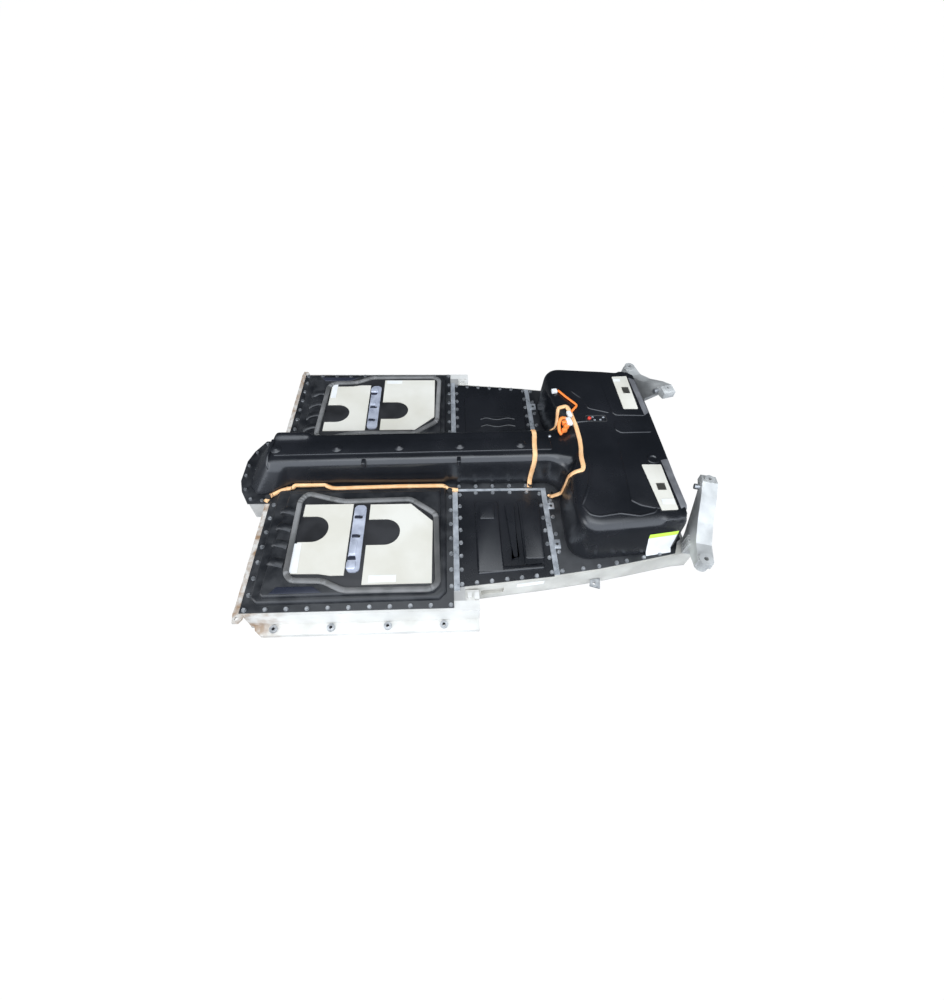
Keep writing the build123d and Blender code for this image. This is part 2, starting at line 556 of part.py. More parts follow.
keep("harness_rear", tube(RUN3, HARNESS_R, 12))

# ---------------------------------------------------------------- cells and electrics inside
MOD_Z0 = FLOOR_T + 12
keep("cold_plate", block(-840.0, -100.0, 150.0, 660.0, FLOOR_T, MOD_Z0), block(-840.0, -100.0, -660.0, -150.0, FLOOR_T, MOD_Z0), block(450.0, 890.0, -420.0, 420.0, FLOOR_T, MOD_Z0))


def module(x0, x1, y0, y1, z0, z1, cells):
    m = block(x0, x1, y0, y1, z0, z1)
    step = (x1 - x0) / cells
    for i in range(1, cells):
        m -= block(x0 + step * i - 1.5, x0 + step * i + 1.5, y0 + 12, y1 - 12, z1 - 4, z1 + 1)
    return m


pair("module_front", module(-835.0, -105.0, 155.0, 640.0, MOD_Z0, 126.0, 4))
keep("module_tunnel", module(-840.0, 330.0, -66.0, 66.0, FLOOR_T, 250.0, 5))
pair("module_foot", module(-5.0, 335.0, 145.0, 520.0, FLOOR_T, 100.0, 3))
keep("module_rear_lower", module(514.0, 870.0, -400.0, 400.0, MOD_Z0, 170.0, 4))
keep("module_rear_upper", module(530.0, 840.0, -400.0, 60.0, 176.0, 318.0, 3))
keep("contactor_box", block(530.0, 700.0, 150.0, 400.0, 176.0, 280.0))
keep("battery_controller", block(715.0, 830.0, 150.0, 390.0, 176.0, 230.0))
keep("busbar", block(340.0, 500.0, -20.0, 20.0, 120.0, 124.0) + block(496.0, 500.0, -20.0, 20.0, 124.0, 170.0))

keep("cable_grommets", *grommets)

os.makedirs("parts", exist_ok=True)
for name, solids in NODES.items():
    shape = solids[0] if len(solids) == 1 else Compound(solids)
    export_step(shape, f"parts/{name}.step")
    print(name, len(solids), round(sum(q.volume for q in solids)))
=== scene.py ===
# %% [markdown]
# # An underfloor battery pack, dressed for its portrait
# The exact solids of the pack come in first: tray rails, floor plate, cells and
# mounts.  They set every size.  The script then adds what a moulded cover and a
# taped cable show to the eye: soft radii, dust, stains and cast metal.
# %% Load the exact solids
import bpy
import bmesh
import json
import math
from mathutils import Matrix, Vector
from mathutils.bvhtree import BVHTree


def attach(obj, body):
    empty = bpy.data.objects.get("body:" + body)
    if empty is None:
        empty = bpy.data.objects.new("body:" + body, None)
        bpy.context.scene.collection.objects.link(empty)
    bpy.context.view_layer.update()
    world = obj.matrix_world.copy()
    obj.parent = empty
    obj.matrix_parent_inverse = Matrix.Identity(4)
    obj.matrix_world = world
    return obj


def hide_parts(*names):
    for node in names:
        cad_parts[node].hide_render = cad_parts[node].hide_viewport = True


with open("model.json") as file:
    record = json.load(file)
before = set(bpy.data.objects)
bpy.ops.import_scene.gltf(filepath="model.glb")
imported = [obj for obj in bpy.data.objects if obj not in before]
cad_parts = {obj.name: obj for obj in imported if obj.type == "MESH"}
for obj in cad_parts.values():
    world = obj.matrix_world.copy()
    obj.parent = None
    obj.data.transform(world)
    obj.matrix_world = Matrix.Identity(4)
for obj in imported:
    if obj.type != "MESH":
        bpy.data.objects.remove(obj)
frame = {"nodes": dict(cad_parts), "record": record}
bpy.context.scene.view_settings.view_transform = "Standard"
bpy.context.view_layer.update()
nodes = frame["nodes"]
MM = 0.001

# %% [markdown]
# The camera stands at the near side of the pack, high up and leaning over the
# front half.  A wide lens close to a long object makes its near rail look large,
# so the lens length matters as much as the place.
# %% Camera
CAMERA_AT = Vector((-0.0736, -1.4129, 1.8707))
CAMERA_AZ = math.radians(-4.532)
CAMERA_EL = math.radians(51.006)
CAMERA_ROLL = math.radians(2.857)
LENS_MM = 16.572
SENSOR_MM = 36.0
SHIFT_Y = -0.0317


def aimed_camera():
    level = math.cos(CAMERA_EL)
    across, along = math.sin(CAMERA_AZ), math.cos(CAMERA_AZ)
    back = Vector((across * level, -along * level, math.sin(CAMERA_EL)))
    right = Vector((along, across, 0.0))
    up = back.cross(right)
    turned_right = right * math.cos(CAMERA_ROLL) + up * math.sin(CAMERA_ROLL)
    turned_up = up * math.cos(CAMERA_ROLL) - right * math.sin(CAMERA_ROLL)
    data = bpy.data.cameras.new("camera")
    data.lens = LENS_MM
    data.sensor_width = SENSOR_MM
    data.shift_y = SHIFT_Y
    cam = bpy.data.objects.new("camera", data)
    turn = Matrix((turned_right, turned_up, back)).transposed()
    cam.matrix_world = Matrix.Translation(CAMERA_AT) @ turn.to_4x4()
    bpy.context.collection.objects.link(cam)
    bpy.context.scene.camera = cam
    return cam


camera = aimed_camera()
print("camera at", tuple(round(v, 3) for v in camera.location), "lens", LENS_MM, "mm")

# %% [markdown]
# Every finish is a shader on Object coordinates.  One helper builds the common
# case: a base colour that drifts between two close tones, and a roughness that
# drifts with it, so that no surface looks like a flat swatch.  Metals and rough
# castings get a fine grain as well, as a bump too small to model.
# %% Finish helper
GRAIN_DEPTH = 0.001


def ranged(tree, value, from_min, from_max, to_min=0.0, to_max=1.0):
    """Maps a socket's value from one range to another and returns the result."""
    node = tree.nodes.new("ShaderNodeMapRange")
    node.inputs["From Min"].default_value = from_min
    node.inputs["From Max"].default_value = from_max
    node.inputs["To Min"].default_value = to_min
    node.inputs["To Max"].default_value = to_max
    tree.links.new(value, node.inputs["Value"])
    return node.outputs["Result"]


def noise(tree, scale, detail=2.0):
    place = tree.nodes.new("ShaderNodeTexCoord")
    cloud = tree.nodes.new("ShaderNodeTexNoise")
    cloud.inputs["Scale"].default_value = scale
    cloud.inputs["Detail"].default_value = detail
    tree.links.new(place.outputs["Object"], cloud.inputs["Vector"])
    return cloud.outputs["Fac"]


def grain(tree, shader, strength, scale):
    relief = tree.nodes.new("ShaderNodeBump")
    relief.inputs["Strength"].default_value = strength
    relief.inputs["Distance"].default_value = GRAIN_DEPTH
    tree.links.new(noise(tree, scale), relief.inputs["Height"])
    tree.links.new(relief.outputs["Normal"], shader.inputs["Normal"])


def finish(name, tone_a, tone_b, rough, metal=0.0, scale=9.0, spread=0.10, bump=0.0, bump_scale=180.0,
           specular=0.5):
    mat = bpy.data.materials.new(name)
    mat.use_nodes = True
    tree = mat.node_tree
    shader = tree.nodes["Principled BSDF"]
    shader.inputs["Metallic"].default_value = metal
    shader.inputs["Specular IOR Level"].default_value = specular
    cloud = noise(tree, scale, 6.0)
    tones = tree.nodes.new("ShaderNodeValToRGB")
    tones.color_ramp.elements[0].position = 0.38
    tones.color_ramp.elements[1].position = 0.66
    tones.color_ramp.elements[0].color = (*tone_a, 1)
    tones.color_ramp.elements[1].color = (*tone_b, 1)
    tree.links.new(cloud, tones.inputs["Fac"])
    tree.links.new(tones.outputs["Color"], shader.inputs["Base Color"])
    gloss = ranged(tree, cloud, 0.35, 0.7, max(0.02, rough - spread), min(1.0, rough + spread))
    tree.links.new(gloss, shader.inputs["Roughness"])
    if bump:
        grain(tree, shader, bump, bump_scale)
    return mat


print("finish helper ready")

# %% [markdown]
# The cover is a glossy black moulding.  Its flange and front blocks carry a film
# of dust, so they are greyer and duller.  The corner facets are painted bluish, a
# painted reflection of the sky that they mirror.
# %% Black and grey mouldings
COVER = finish("cover_black", (0.0055, 0.0065, 0.0085), (0.010, 0.011, 0.014), 0.26, scale=3.2, spread=0.07,
               specular=0.78)
DUSTY = finish("cover_dusty", (0.010, 0.011, 0.013), (0.028, 0.029, 0.031), 0.38, scale=17.0, spread=0.10)
# painted reflection: this bluish dark stands for the sky mirrored in the corner facets; the strap slots use
# it as a plain dark
SKY_SHEEN_AND_SLOT_DARK = finish("painted_sky_sheen_and_slot_dark", (0.020, 0.023, 0.036), (0.028, 0.031, 0.046), 0.34, scale=5.0)
# painted highlight: the bead's grey stands for the shine along its ridge
BEAD_PAINTED_HIGHLIGHT = finish("bead_grey_painted_highlight", (0.12, 0.12, 0.115), (0.18, 0.175, 0.17), 0.50, scale=14.0)
STRIP = finish("grey_strip", (0.10, 0.10, 0.105), (0.17, 0.17, 0.175), 0.5, scale=18.0)
BLACK = finish("black_plastic", (0.012, 0.012, 0.013), (0.022, 0.022, 0.024), 0.45)
RUBBER = finish("black_rubber", (0.015, 0.015, 0.015), (0.03, 0.03, 0.03), 0.7)
WINDOW = finish("window_dark", (0.035, 0.033, 0.028), (0.05, 0.047, 0.04), 0.35)
print("dark finishes ready")

# %% [markdown]
# The tray is welded from pale extrusions with cast ends.  Oxidised aluminium is
# nearer to a light grey paint than to a mirror, so its metal share stays low.
# %% Tray, arms and fasteners
RAIL = finish("rail_aluminium", (0.60, 0.585, 0.54), (0.74, 0.725, 0.68), 0.48, metal=0.15, scale=7.0,
              bump=0.1)
REAR_RAIL = finish("rear_rail_aluminium", (0.50, 0.48, 0.43), (0.62, 0.60, 0.54), 0.5, metal=0.15, scale=9.0,
                   bump=0.15)
TRAY = finish("tray_aluminium", (0.42, 0.41, 0.39), (0.55, 0.54, 0.51), 0.5, metal=0.4)
SEAM = finish("seam_strip", (0.38, 0.40, 0.42), (0.56, 0.58, 0.60), 0.36, metal=0.5, scale=30.0)
CAST = finish("cast_aluminium", (0.40, 0.40, 0.385), (0.60, 0.60, 0.575), 0.52, metal=0.3, scale=11.0,
              bump=0.35, bump_scale=260.0)
STRAP = finish("strap_lilac", (0.46, 0.49, 0.58), (0.66, 0.69, 0.78), 0.35, metal=0.45, scale=20.0)
STEEL = finish("zinc_steel", (0.32, 0.33, 0.34), (0.52, 0.53, 0.54), 0.38, metal=0.8, scale=60.0)
WASHER = finish("dusty_washer", (0.10, 0.105, 0.11), (0.34, 0.345, 0.35), 0.5, metal=0.4, scale=70.0)
COPPER = finish("bare_copper", (0.65, 0.33, 0.18), (0.75, 0.42, 0.25), 0.3, metal=0.9)
print("metal finishes ready")

# %% [markdown]
# The pale pads, the harness tape and the blank labels are matt.  The cell cases
# are hidden by the cover, so a plain dark finish does for them.
# %% Pads, harness, labels and cell cases
PLATE = finish("pad_offwhite", (0.60, 0.57, 0.485), (0.67, 0.645, 0.57), 0.62, scale=5.0)
HARNESS = finish("harness_orange", (0.80, 0.43, 0.19), (0.88, 0.55, 0.28), 0.55, scale=24.0, bump=0.2,
                 bump_scale=300.0)
ORANGE = finish("orange_plastic", (0.85, 0.20, 0.03), (0.92, 0.28, 0.06), 0.4)
RED = finish("red_plastic", (0.62, 0.05, 0.03), (0.70, 0.08, 0.05), 0.4)
WHITE = finish("white_label", (0.72, 0.72, 0.70), (0.78, 0.78, 0.76), 0.5, scale=20.0)
LIME = finish("lime_band", (0.52, 0.86, 0.05), (0.60, 0.92, 0.08), 0.5, scale=20.0)
MODULE = finish("module_case", (0.05, 0.055, 0.065), (0.08, 0.085, 0.10), 0.5)
print("soft finishes ready")

# %% [markdown]
# The front end of the tray is stained brown.  The stain is a second colour
# mixed over the rail's own finish: a ramp along X says where it may be, and a
# noise says in which patches, so that it thins out towards the middle.
# %% Brown stain on the front rails
STAIN_BROWN = (0.30, 0.19, 0.11, 1)
STAIN_FROM_X = -0.70
STAIN_FULL_X = -0.86


def stained(name, base):
    mat = base.copy()
    mat.name = name
    tree = mat.node_tree
    shader = tree.nodes["Principled BSDF"]
    clean = shader.inputs["Base Color"].links[0].from_socket
    place = tree.nodes.new("ShaderNodeTexCoord")
    split = tree.nodes.new("ShaderNodeSeparateXYZ")
    tree.links.new(place.outputs["Object"], split.inputs[0])
    share = tree.nodes.new("ShaderNodeMath")
    share.operation = "MULTIPLY"
    tree.links.new(ranged(tree, split.outputs["X"], STAIN_FROM_X, STAIN_FULL_X), share.inputs[0])
    tree.links.new(ranged(tree, noise(tree, 26.0, 8.0), 0.42, 0.66, 0.15, 1.0), share.inputs[1])
    mix = tree.nodes.new("ShaderNodeMixRGB")
    mix.inputs["Color2"].default_value = STAIN_BROWN
    tree.links.new(share.outputs[0], mix.inputs["Fac"])
    tree.links.new(clean, mix.inputs["Color1"])
    tree.links.new(mix.outputs["Color"], shader.inputs["Base Color"])
    return mat


STAINED = stained("stained_rail", RAIL)
print("stain runs from X", STAIN_FROM_X, "to", STAIN_FULL_X)

# %% [markdown]
# Each solid names a material slot, and each slot has one finish.  The rear rails
# are duller than the front ones, and the front ends are stained, so those nodes
# change their finish after the common pass.
# %% Finishes on the solids
SLOT_FINISH = {
    "tray": TRAY, "rail": RAIL, "cast": CAST, "seam": SEAM, "cover": COVER, "black_plastic": BLACK,
    "red_plastic": RED, "orange_plastic": ORANGE, "harness": HARNESS, "gasket": RUBBER, "plate": PLATE,
    "strap": STRAP, "steel": STEEL, "module": MODULE, "copper": COPPER,
}
STAINED_NODES = ("side_rail_left", "side_rail_right", "front_cross_rail",
                 "corner_bracket_left", "corner_bracket_right")

for part in frame["record"]["subparts"]:
    mesh = nodes[part["node"]].data
    mesh.materials.clear()
    mesh.materials.append(SLOT_FINISH[part["material_slot"]])
for name in STAINED_NODES:
    nodes[name].data.materials[0] = STAINED
for name in ("rear_side_rail_left", "rear_side_rail_right"):
    nodes[name].data.materials[0] = REAR_RAIL
print(len(SLOT_FINISH), "finishes on", len(nodes), "solids")

# %% [markdown]
# Most outside pieces start as a flat outline that is drawn up to its height.  The
# helper lays one face from the outline's corners, extrudes it, leans its walls by
# an inset, and rounds its rims, which is how a moulded or pressed edge looks.
# %% Outline helper
EDGE_STEPS = 3
CORNER_STEPS = 5


def rounded(bm, geom, radius, steps, kind="EDGES"):
    """Rounds edges or corners of bm; radius in millimetres."""
    bmesh.ops.bevel(bm, geom=geom, offset=radius * MM, segments=steps, profile=0.5, affect=kind, material=-1)


def lay_face(bm, outline, z):
    return bm.faces.new([bm.verts.new((x * MM, y * MM, z * MM)) for x, y in outline])


def face_up(face):
    face.normal_update()
    if face.normal.z < 0:
        face.normal_flip()


def new_faces(grown):
    return [g for g in grown["geom"] if isinstance(g, bmesh.types.BMFace)]


def raise_outline(bm, outline, z0, z1, rim=2.0, lean=0.0, corner=0.0, steps=EDGE_STEPS):
    """Adds a closed slab to bm: outline in millimetres, rim = radius of its top edge."""
    before = set(bm.faces)
    face = lay_face(bm, outline, z0)
    if corner:
        rounded(bm, list(face.verts), corner, CORNER_STEPS, "VERTICES")
        face = next(f for f in bm.faces if f not in before)
    face_up(face)
    height = (z1 - z0) * MM
    top = new_faces(bmesh.ops.extrude_face_region(bm, geom=[face]))
    bmesh.ops.translate(bm, vec=(0, 0, height), verts=list({v for f in top for v in f.verts}))
    if lean:
        low = bmesh.ops.inset_region(bm, faces=top, thickness=lean * MM, depth=0.0)
        ring = {v for f in low["faces"] for v in f.verts} - {v for f in top for v in f.verts}
        bmesh.ops.translate(bm, vec=(0, 0, -height * 0.98), verts=list(ring))
    if rim:
        rounded(bm, list({e for f in top for e in f.edges}), rim, steps)
    return bm


def slab(bm, x0, y0, x1, y1, z0, z1, **shape):
    """A rectangle drawn up; x0..y1 are its opposite corners in millimetres."""
    return raise_outline(bm, [(x0, y0), (x0, y1), (x1, y1), (x1, y0)], z0, z1, **shape)


def piece(bm, name, material, replaced=(), smooth=40.0):
    """Turns bm into a finished piece that rides on the pack."""
    bmesh.ops.recalc_face_normals(bm, faces=bm.faces)
    for edge in bm.edges:
        if len(edge.link_faces) == 2 and edge.calc_face_angle(0.0) > math.radians(smooth):
            edge.smooth = False
    for face in bm.faces:
        face.smooth = True
    mesh = bpy.data.meshes.new(name)
    bm.to_mesh(mesh)
    bm.free()
    mesh.materials.append(material)
    obj = bpy.data.objects.new(name, mesh)
    bpy.context.collection.objects.link(obj)
    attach(obj, "root")
    if replaced:
        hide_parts(*replaced)
    return obj


def mirrored(outline):
    return [(x, -y) for x, y in outline]


def whole(half):
    """The left half of an outline, closed by its mirror image."""
    return half + mirrored(half)[::-1]


print("outline helper ready")

# %% [markdown]
# The tunnel, the nose and the rear box are one black moulding with no hard edge.
# Each form is first laid down as a plain block: the tunnel and the nose as convex
# hulls, the way from tunnel to box as a flared slab.
# %% Tunnel and nose as plain blocks
FLANGE_BASE = 117.0
FLANGE_TOP = 120.0
TUNNEL_TOP = 286.0
BOX_TOP = 348.0
RAMP_FRONT_X = -860.0
RAMP_FRONT_Z = 268.0
RAMP_RISE = 24.0
RAMP_LENGTH = 1260.0


def ramp(x):
    """Height of the tunnel's back, which climbs gently to the rear."""
    return RAMP_FRONT_Z + RAMP_RISE * (x - RAMP_FRONT_X) / RAMP_LENGTH


def hull(bm, points):
    verts = [bm.verts.new(Vector(p) * MM) for p in points]
    made = bmesh.ops.convex_hull(bm, input=verts)
    spare = [g for g in made["geom_interior"] if isinstance(g, bmesh.types.BMVert)]
    bmesh.ops.delete(bm, geom=spare, context="VERTS")


def both_sides(points):
    return points + [(x, -y, z) for x, y, z in points]


def tunnel_block(bm):
    """Foot, shoulder and crown of each wall; a shoulder lies a little below the back."""
    ends = []
    for x in (-890, 520):
        ends += [(x, -97, FLANGE_BASE), (x, -84, ramp(x) - 22), (x, -66, ramp(x))]
        ends += [(x, 116, FLANGE_BASE), (x, 106, ramp(x) - 24), (x, 92, ramp(x))]
    hull(bm, ends)


def nose_block(bm):
    low = [(x, y, FLANGE_BASE) for x, y in ((-1006, 50), (-998, 104), (-962, 146), (-885, 148), (-815, 100))]
    high = [(-992, 42, 146), (-980, 88, 140), (-940, 124, 136), (-886, 62, 268), (-878, 92, 246),
            (-820, 92, 236)]
    hull(bm, both_sides(low + high))


def way_to_box(bm):
    hull(bm, both_sides([(400, 60, 240), (400, 80, 276), (400, 50, 290), (580, 150, 342), (580, 150, 200)]))
    slab(bm, -884, 66, -716, 112, 240, 282, rim=8.0, lean=6.0, corner=10.0)
    flare = [(330, 86), (396, 98), (428, 122), (444, 160), (450, 236), (560, 236)]
    raise_outline(bm, whole(flare), FLANGE_BASE, 290, rim=30.0, lean=12.0, steps=5)


print("tunnel back climbs from", ramp(-860), "to", ramp(400), "mm")

# %% [markdown]
# The rear box has upright walls that lean in slightly and a wide rounded rim.  The
# rim is a stair of five insets, each a step along a quarter circle, which keeps it
# even all the way round.  Front corners are wide and rear corners tight.
# %% Rear box as a stepped block
BOX_FRONT_CORNER_Y = 516.0
BOX_REAR_CORNER_Y = 468.0
BOX_FRONT_RADIUS = 100.0
BOX_REAR_RADIUS = 34.0
BOX_RIM = 44.0
BOX_LEAN = 0.06
RIM_STEPS = 5
FIRST_STEP = 1.0
BOX_REAR = [(742, 490), (902, BOX_REAR_CORNER_Y), (917, 110)]
BOX_FAR = [(500, 60), (440, 190), (416, 300), (406, BOX_FRONT_CORNER_Y)] + BOX_REAR
BOX_NEAR = [(500, -60), (440, -190), (430, -300), (430, -BOX_FRONT_CORNER_Y)] + mirrored(BOX_REAR)


def rim_steps(rise):
    """Pairs of inset and lift, in millimetres, that climb the wall and round the rim."""
    steps = [((rise - BOX_RIM) * BOX_LEAN, rise - BOX_RIM)]
    for k in range(RIM_STEPS):
        a, b = math.radians(90 * k / RIM_STEPS), math.radians(90 * (k + 1) / RIM_STEPS)
        steps.append((BOX_RIM * (math.cos(a) - math.cos(b)), BOX_RIM * (math.sin(b) - math.sin(a))))
    return steps


def rear_box_block(bm):
    before = set(bm.faces)
    face_up(lay_face(bm, BOX_FAR + BOX_NEAR[::-1], FLANGE_BASE))
    for reach, radius in ((BOX_FRONT_CORNER_Y, BOX_FRONT_RADIUS), (BOX_REAR_CORNER_Y, BOX_REAR_RADIUS)):
        level = [v for v in bm.verts if abs(abs(v.co.y) - reach * MM) < 1e-4]
        corners = [v for v in level if any(f not in before for f in v.link_faces)]
        rounded(bm, corners, radius, 7, "VERTICES")
    base = [f for f in bm.faces if f not in before]
    top = new_faces(bmesh.ops.extrude_face_region(bm, geom=base))
    bmesh.ops.translate(bm, vec=(0, 0, FIRST_STEP * MM), verts=top[0].verts)
    for go_in, go_up in rim_steps(BOX_TOP - FLANGE_BASE - FIRST_STEP):
        bmesh.ops.inset_region(bm, faces=top, thickness=go_in * MM, depth=0.0, use_even_offset=True)
        bmesh.ops.translate(bm, vec=(0, 0, go_up * MM), verts=top[0].verts)


print("box rim in", RIM_STEPS, "steps of", BOX_RIM, "mm radius")

# %% [markdown]
# A voxel remesh fuses the blocks into one skin, and a smooth pass melts the lines
# between them into the wide radii of a moulding.  Fillets made edge by edge would
# meet in knots where three forms join.
# %% The melted cover body
VOXEL = 0.0075
SMOOTH_PASSES = 16


def moulded_body():
    bm = bmesh.new()
    tunnel_block(bm)
    nose_block(bm)
    way_to_box(bm)
    rear_box_block(bm)
    obj = piece(bm, "moulded_cover_body", COVER, ["main_cover"])
    melt = obj.modifiers.new("melt", "REMESH")
    melt.mode = "VOXEL"
    melt.voxel_size = VOXEL
    melt.use_smooth_shade = True
    soften = obj.modifiers.new("soften", "SMOOTH")
    soften.factor = 0.5
    soften.iterations = SMOOTH_PASSES
    return obj


body = moulded_body()
print("moulding spans", tuple(round(v, 3) for v in body.dimensions))

# %% [markdown]
# The flange is the flat rim that the bolts pull down.  The two front blocks rise
# from it in a step with a sloped wall, and a raised platform carries the bead.
# %% Flange and front blocks
BLOCK_Z = 152.0
FLANGE_HALF = [(-1050, 60), (-1030, 122), (-988, 190), (-888, 190), (-888, 702), (-60, 702), (-60, 124),
               (383, 124), (383, 570), (553, 548), (733, 516), (900, 484), (925, 430), (945, 415)]
BLOCK = [(-856, 126), (-88, 126), (-88, 640), (-118, 670), (-828, 674), (-858, 650)]
PLATFORM = [(-800, 152), (-112, 148), (-112, 624), (-140, 650), (-806, 656), (-822, 640)]


def front_blocks():
    bm = bmesh.new()
    raise_outline(bm, whole(FLANGE_HALF), FLANGE_BASE, FLANGE_TOP, rim=1.0)
    for turn in (list, mirrored):
        raise_outline(bm, turn(BLOCK), FLANGE_TOP - 1, FLANGE_TOP + 17, rim=8.0, lean=6.0, steps=4)
        raise_outline(bm, turn(PLATFORM), FLANGE_TOP + 10, BLOCK_Z, rim=7.0, lean=7.0, steps=4)
    return piece(bm, "flange_and_blocks", DUSTY, ["main_cover"])


flange = front_blocks()
print("flange reach", tuple(round(v, 3) for v in flange.dimensions))

# %% [markdown]
# Everything that lies on the moulding needs to know where its skin is.  A search
# tree over the finished skins answers that, so bands, labels and clips can be laid
# on roughly and then settle on the surface by themselves.
# %% Skin search
def skin_of(objects):
    depsgraph = bpy.context.evaluated_depsgraph_get()
    verts, faces = [], []
    for obj in objects:
        solved = obj.evaluated_get(depsgraph)
        mesh = solved.to_mesh()
        base = len(verts)
        verts += [obj.matrix_world @ v.co for v in mesh.vertices]
        faces += [tuple(base + i for i in p.vertices) for p in mesh.polygons]
        solved.to_mesh_clear()
    return BVHTree.FromPolygons(verts, faces)


DOWN = Vector((0, 0, -1))
skin = skin_of([body, flange])
print("skin ready; tunnel top at", round(skin.ray_cast(Vector((-0.4, 0, 1)), DOWN)[0].z, 4))

# %% [markdown]
# Beads, ribs and bands are one section pushed along a path.  The section is a soft
# oval, and each step extrudes the end face and sets it square to the path.  A path
# is given by few corners, which are rounded before the sweep.
# %% Swept bands
def rounded_path(points, radius, steps=4, closed=False):
    pts = [Vector(p) for p in points]
    out = [] if closed else [pts[0]]
    count = len(pts)
    for i in (range(count) if closed else range(1, count - 1)):
        a, b, c = pts[i - 1], pts[i], pts[(i + 1) % count]
        r = min(radius, (a - b).length * 0.45, (c - b).length * 0.45)
        start, end = b + (a - b).normalized() * r, b + (c - b).normalized() * r
        for k in range(steps + 1):
            t = k / steps
            out.append(start.lerp(b, t).lerp(b.lerp(end, t), t))
    return out if closed else out + [pts[-1]]


def stepped(points, gap):
    out = [points[0]]
    for a, b in zip(points, points[1:]):
        n = max(1, round((b - a).length / gap))
        out += [a.lerp(b, k / n) for k in range(1, n + 1)]
    return out


def oval(width, height, power=3.0, count=12):
    """A section in millimetres; a higher power makes it squarer."""
    out = []
    for k in range(count):
        angle = 2 * math.pi * (k + 0.5) / count
        c, s = math.cos(angle), math.sin(angle)
        w = math.copysign(abs(c) ** (2 / power), c) * width / 2
        h = math.copysign(abs(s) ** (2 / power), s) * height / 2
        out.append((w, h))
    return out


def sweep(bm, path, ups, section, closed=False):
    """Pushes a flat section along a path, both in millimetres, one extrusion per step."""
    count = len(path)

    def section_at(i):
        ahead = path[(i + 1) % count] if closed or i + 1 < count else path[i]
        behind = path[i - 1] if closed or i else path[i]
        along = (ahead - behind).normalized()
        side = along.cross(ups[i]).normalized()
        up = side.cross(along)
        return [(path[i] + side * w + up * h) * MM for w, h in section]

    face = bm.faces.new([bm.verts.new(p) for p in section_at(0)])
    for i in list(range(1, count)) + ([0] if closed else []):
        face = new_faces(bmesh.ops.extrude_face_region(bm, geom=[face]))[0]
        for v, p in zip(face.verts, section_at(i)):
            v.co = p
    if closed:
        bmesh.ops.delete(bm, geom=[face], context="FACES_ONLY")
        bmesh.ops.remove_doubles(bm, verts=bm.verts, dist=1e-6)
    return bm


def all_up(path, up=(0, 0, 1)):
    return [Vector(up).normalized()] * len(path)


print("sweep ready, oval of", len(oval(10, 10)), "points")

# %% [markdown]
# The pale pads lie on a black bed inside each front block.  The bed is a film only
# 0.8 mm proud, enough to show darker than the dusty moulding round it.
# %% Beds under the pads
BED = [(-716, 186), (-690, 182), (-545, 222), (-244, 216), (-148, 298), (-138, 604), (-168, 622), (-492, 620),
       (-574, 580), (-696, 572), (-716, 550)]


def plate_beds():
    bm = bmesh.new()
    for turn in (list, mirrored):
        raise_outline(bm, turn(BED), BLOCK_Z - 2, BLOCK_Z + 0.8, rim=0.3)
    return piece(bm, "plate_beds", BLACK)


beds = plate_beds()
print("beds span", tuple(round(v, 3) for v in beds.dimensions))

# %% [markdown]
# A pressed strap crosses each pair of pads.  It has two slots and a third, wider
# one near an embossed end.  The slots are thin dark slabs laid on top, because at
# this size a real cut would look no different.
# %% Strap slots and embosses
STRAP_BASE = 158
SLOT_Y = (298, 393)
WIDE_SLOT = ((-490, 488), (-494, 506), (-458, 506), (-462, 488))


def strap_slots():
    bm = bmesh.new()
    for s in (1, -1):
        for y in SLOT_Y:
            slab(bm, -488, s * y - 8, -462, s * y + 8, STRAP_BASE, 161.2, rim=0.6, corner=5.0)
        raise_outline(bm, [(x, s * y) for x, y in WIDE_SLOT], STRAP_BASE, 161.5, rim=0.6, corner=4.0)
    return piece(bm, "strap_slots", SKY_SHEEN_AND_SLOT_DARK)


def strap_embosses():
    bm = bmesh.new()
    for s in (1, -1):
        slab(bm, -496, s * 508, -456, s * 548, STRAP_BASE, 163.5, rim=2.0, lean=2.0, corner=11.0)
        slab(bm, -490, s * 412, -460, s * 482, STRAP_BASE, 162.0, rim=1.4, lean=2.0, corner=9.0)
    return piece(bm, "strap_embosses", STRAP)


strap_slots()
embosses = strap_embosses()
print("embosses to", round(max(v.co.z for v in embosses.data.vertices), 4))

# %% [markdown]
# A bead frames each front block, and its grey is a painted highlight: the shine
# of its ridge is put into its colour.  It is a soft sealing rib, so its section is
# an oval that stands a little above the platform, and it follows the pads round.
# %% Bead frames
BEAD_LINE = [(-718, 174), (-697, 168), (-608, 195), (-540, 212), (-247, 204), (-134, 287), (-123, 613),
             (-154, 638), (-496, 635), (-579, 593), (-704, 588), (-730, 559), (-739, 206)]
BEAD_Z = 156.0


def bead_frames():
    bm = bmesh.new()
    for s in (1, -1):
        path = rounded_path([(x, s * y, BEAD_Z) for x, y in BEAD_LINE], 22, steps=5, closed=True)
        sweep(bm, path, all_up(path), oval(24, 17, power=2.6), closed=True)
    # painted highlight: the grey finish stands for the shine along the bead
    return piece(bm, "bead_frames", BEAD_PAINTED_HIGHLIGHT)


beads = bead_frames()
print("bead frames are", round(beads.dimensions.z, 4), "high")

# %% [markdown]
# Four short ribs stiffen the front slope of each block, and a flat facet breaks
# its outer front corner.  The facet's bluish colour is a painted reflection of the
# sky.
# %% Front ribs and corner facets
RIB_Y = (254, 338, 420, 504)
RIB_PATH = ((-812, -8, 142), (-796, -3, 152), (-772, 5, 155), (-748, 10, 152))
FACET_LINE = [(-781, 643), (-758, 611), (-615, 611), (-575, 641)]


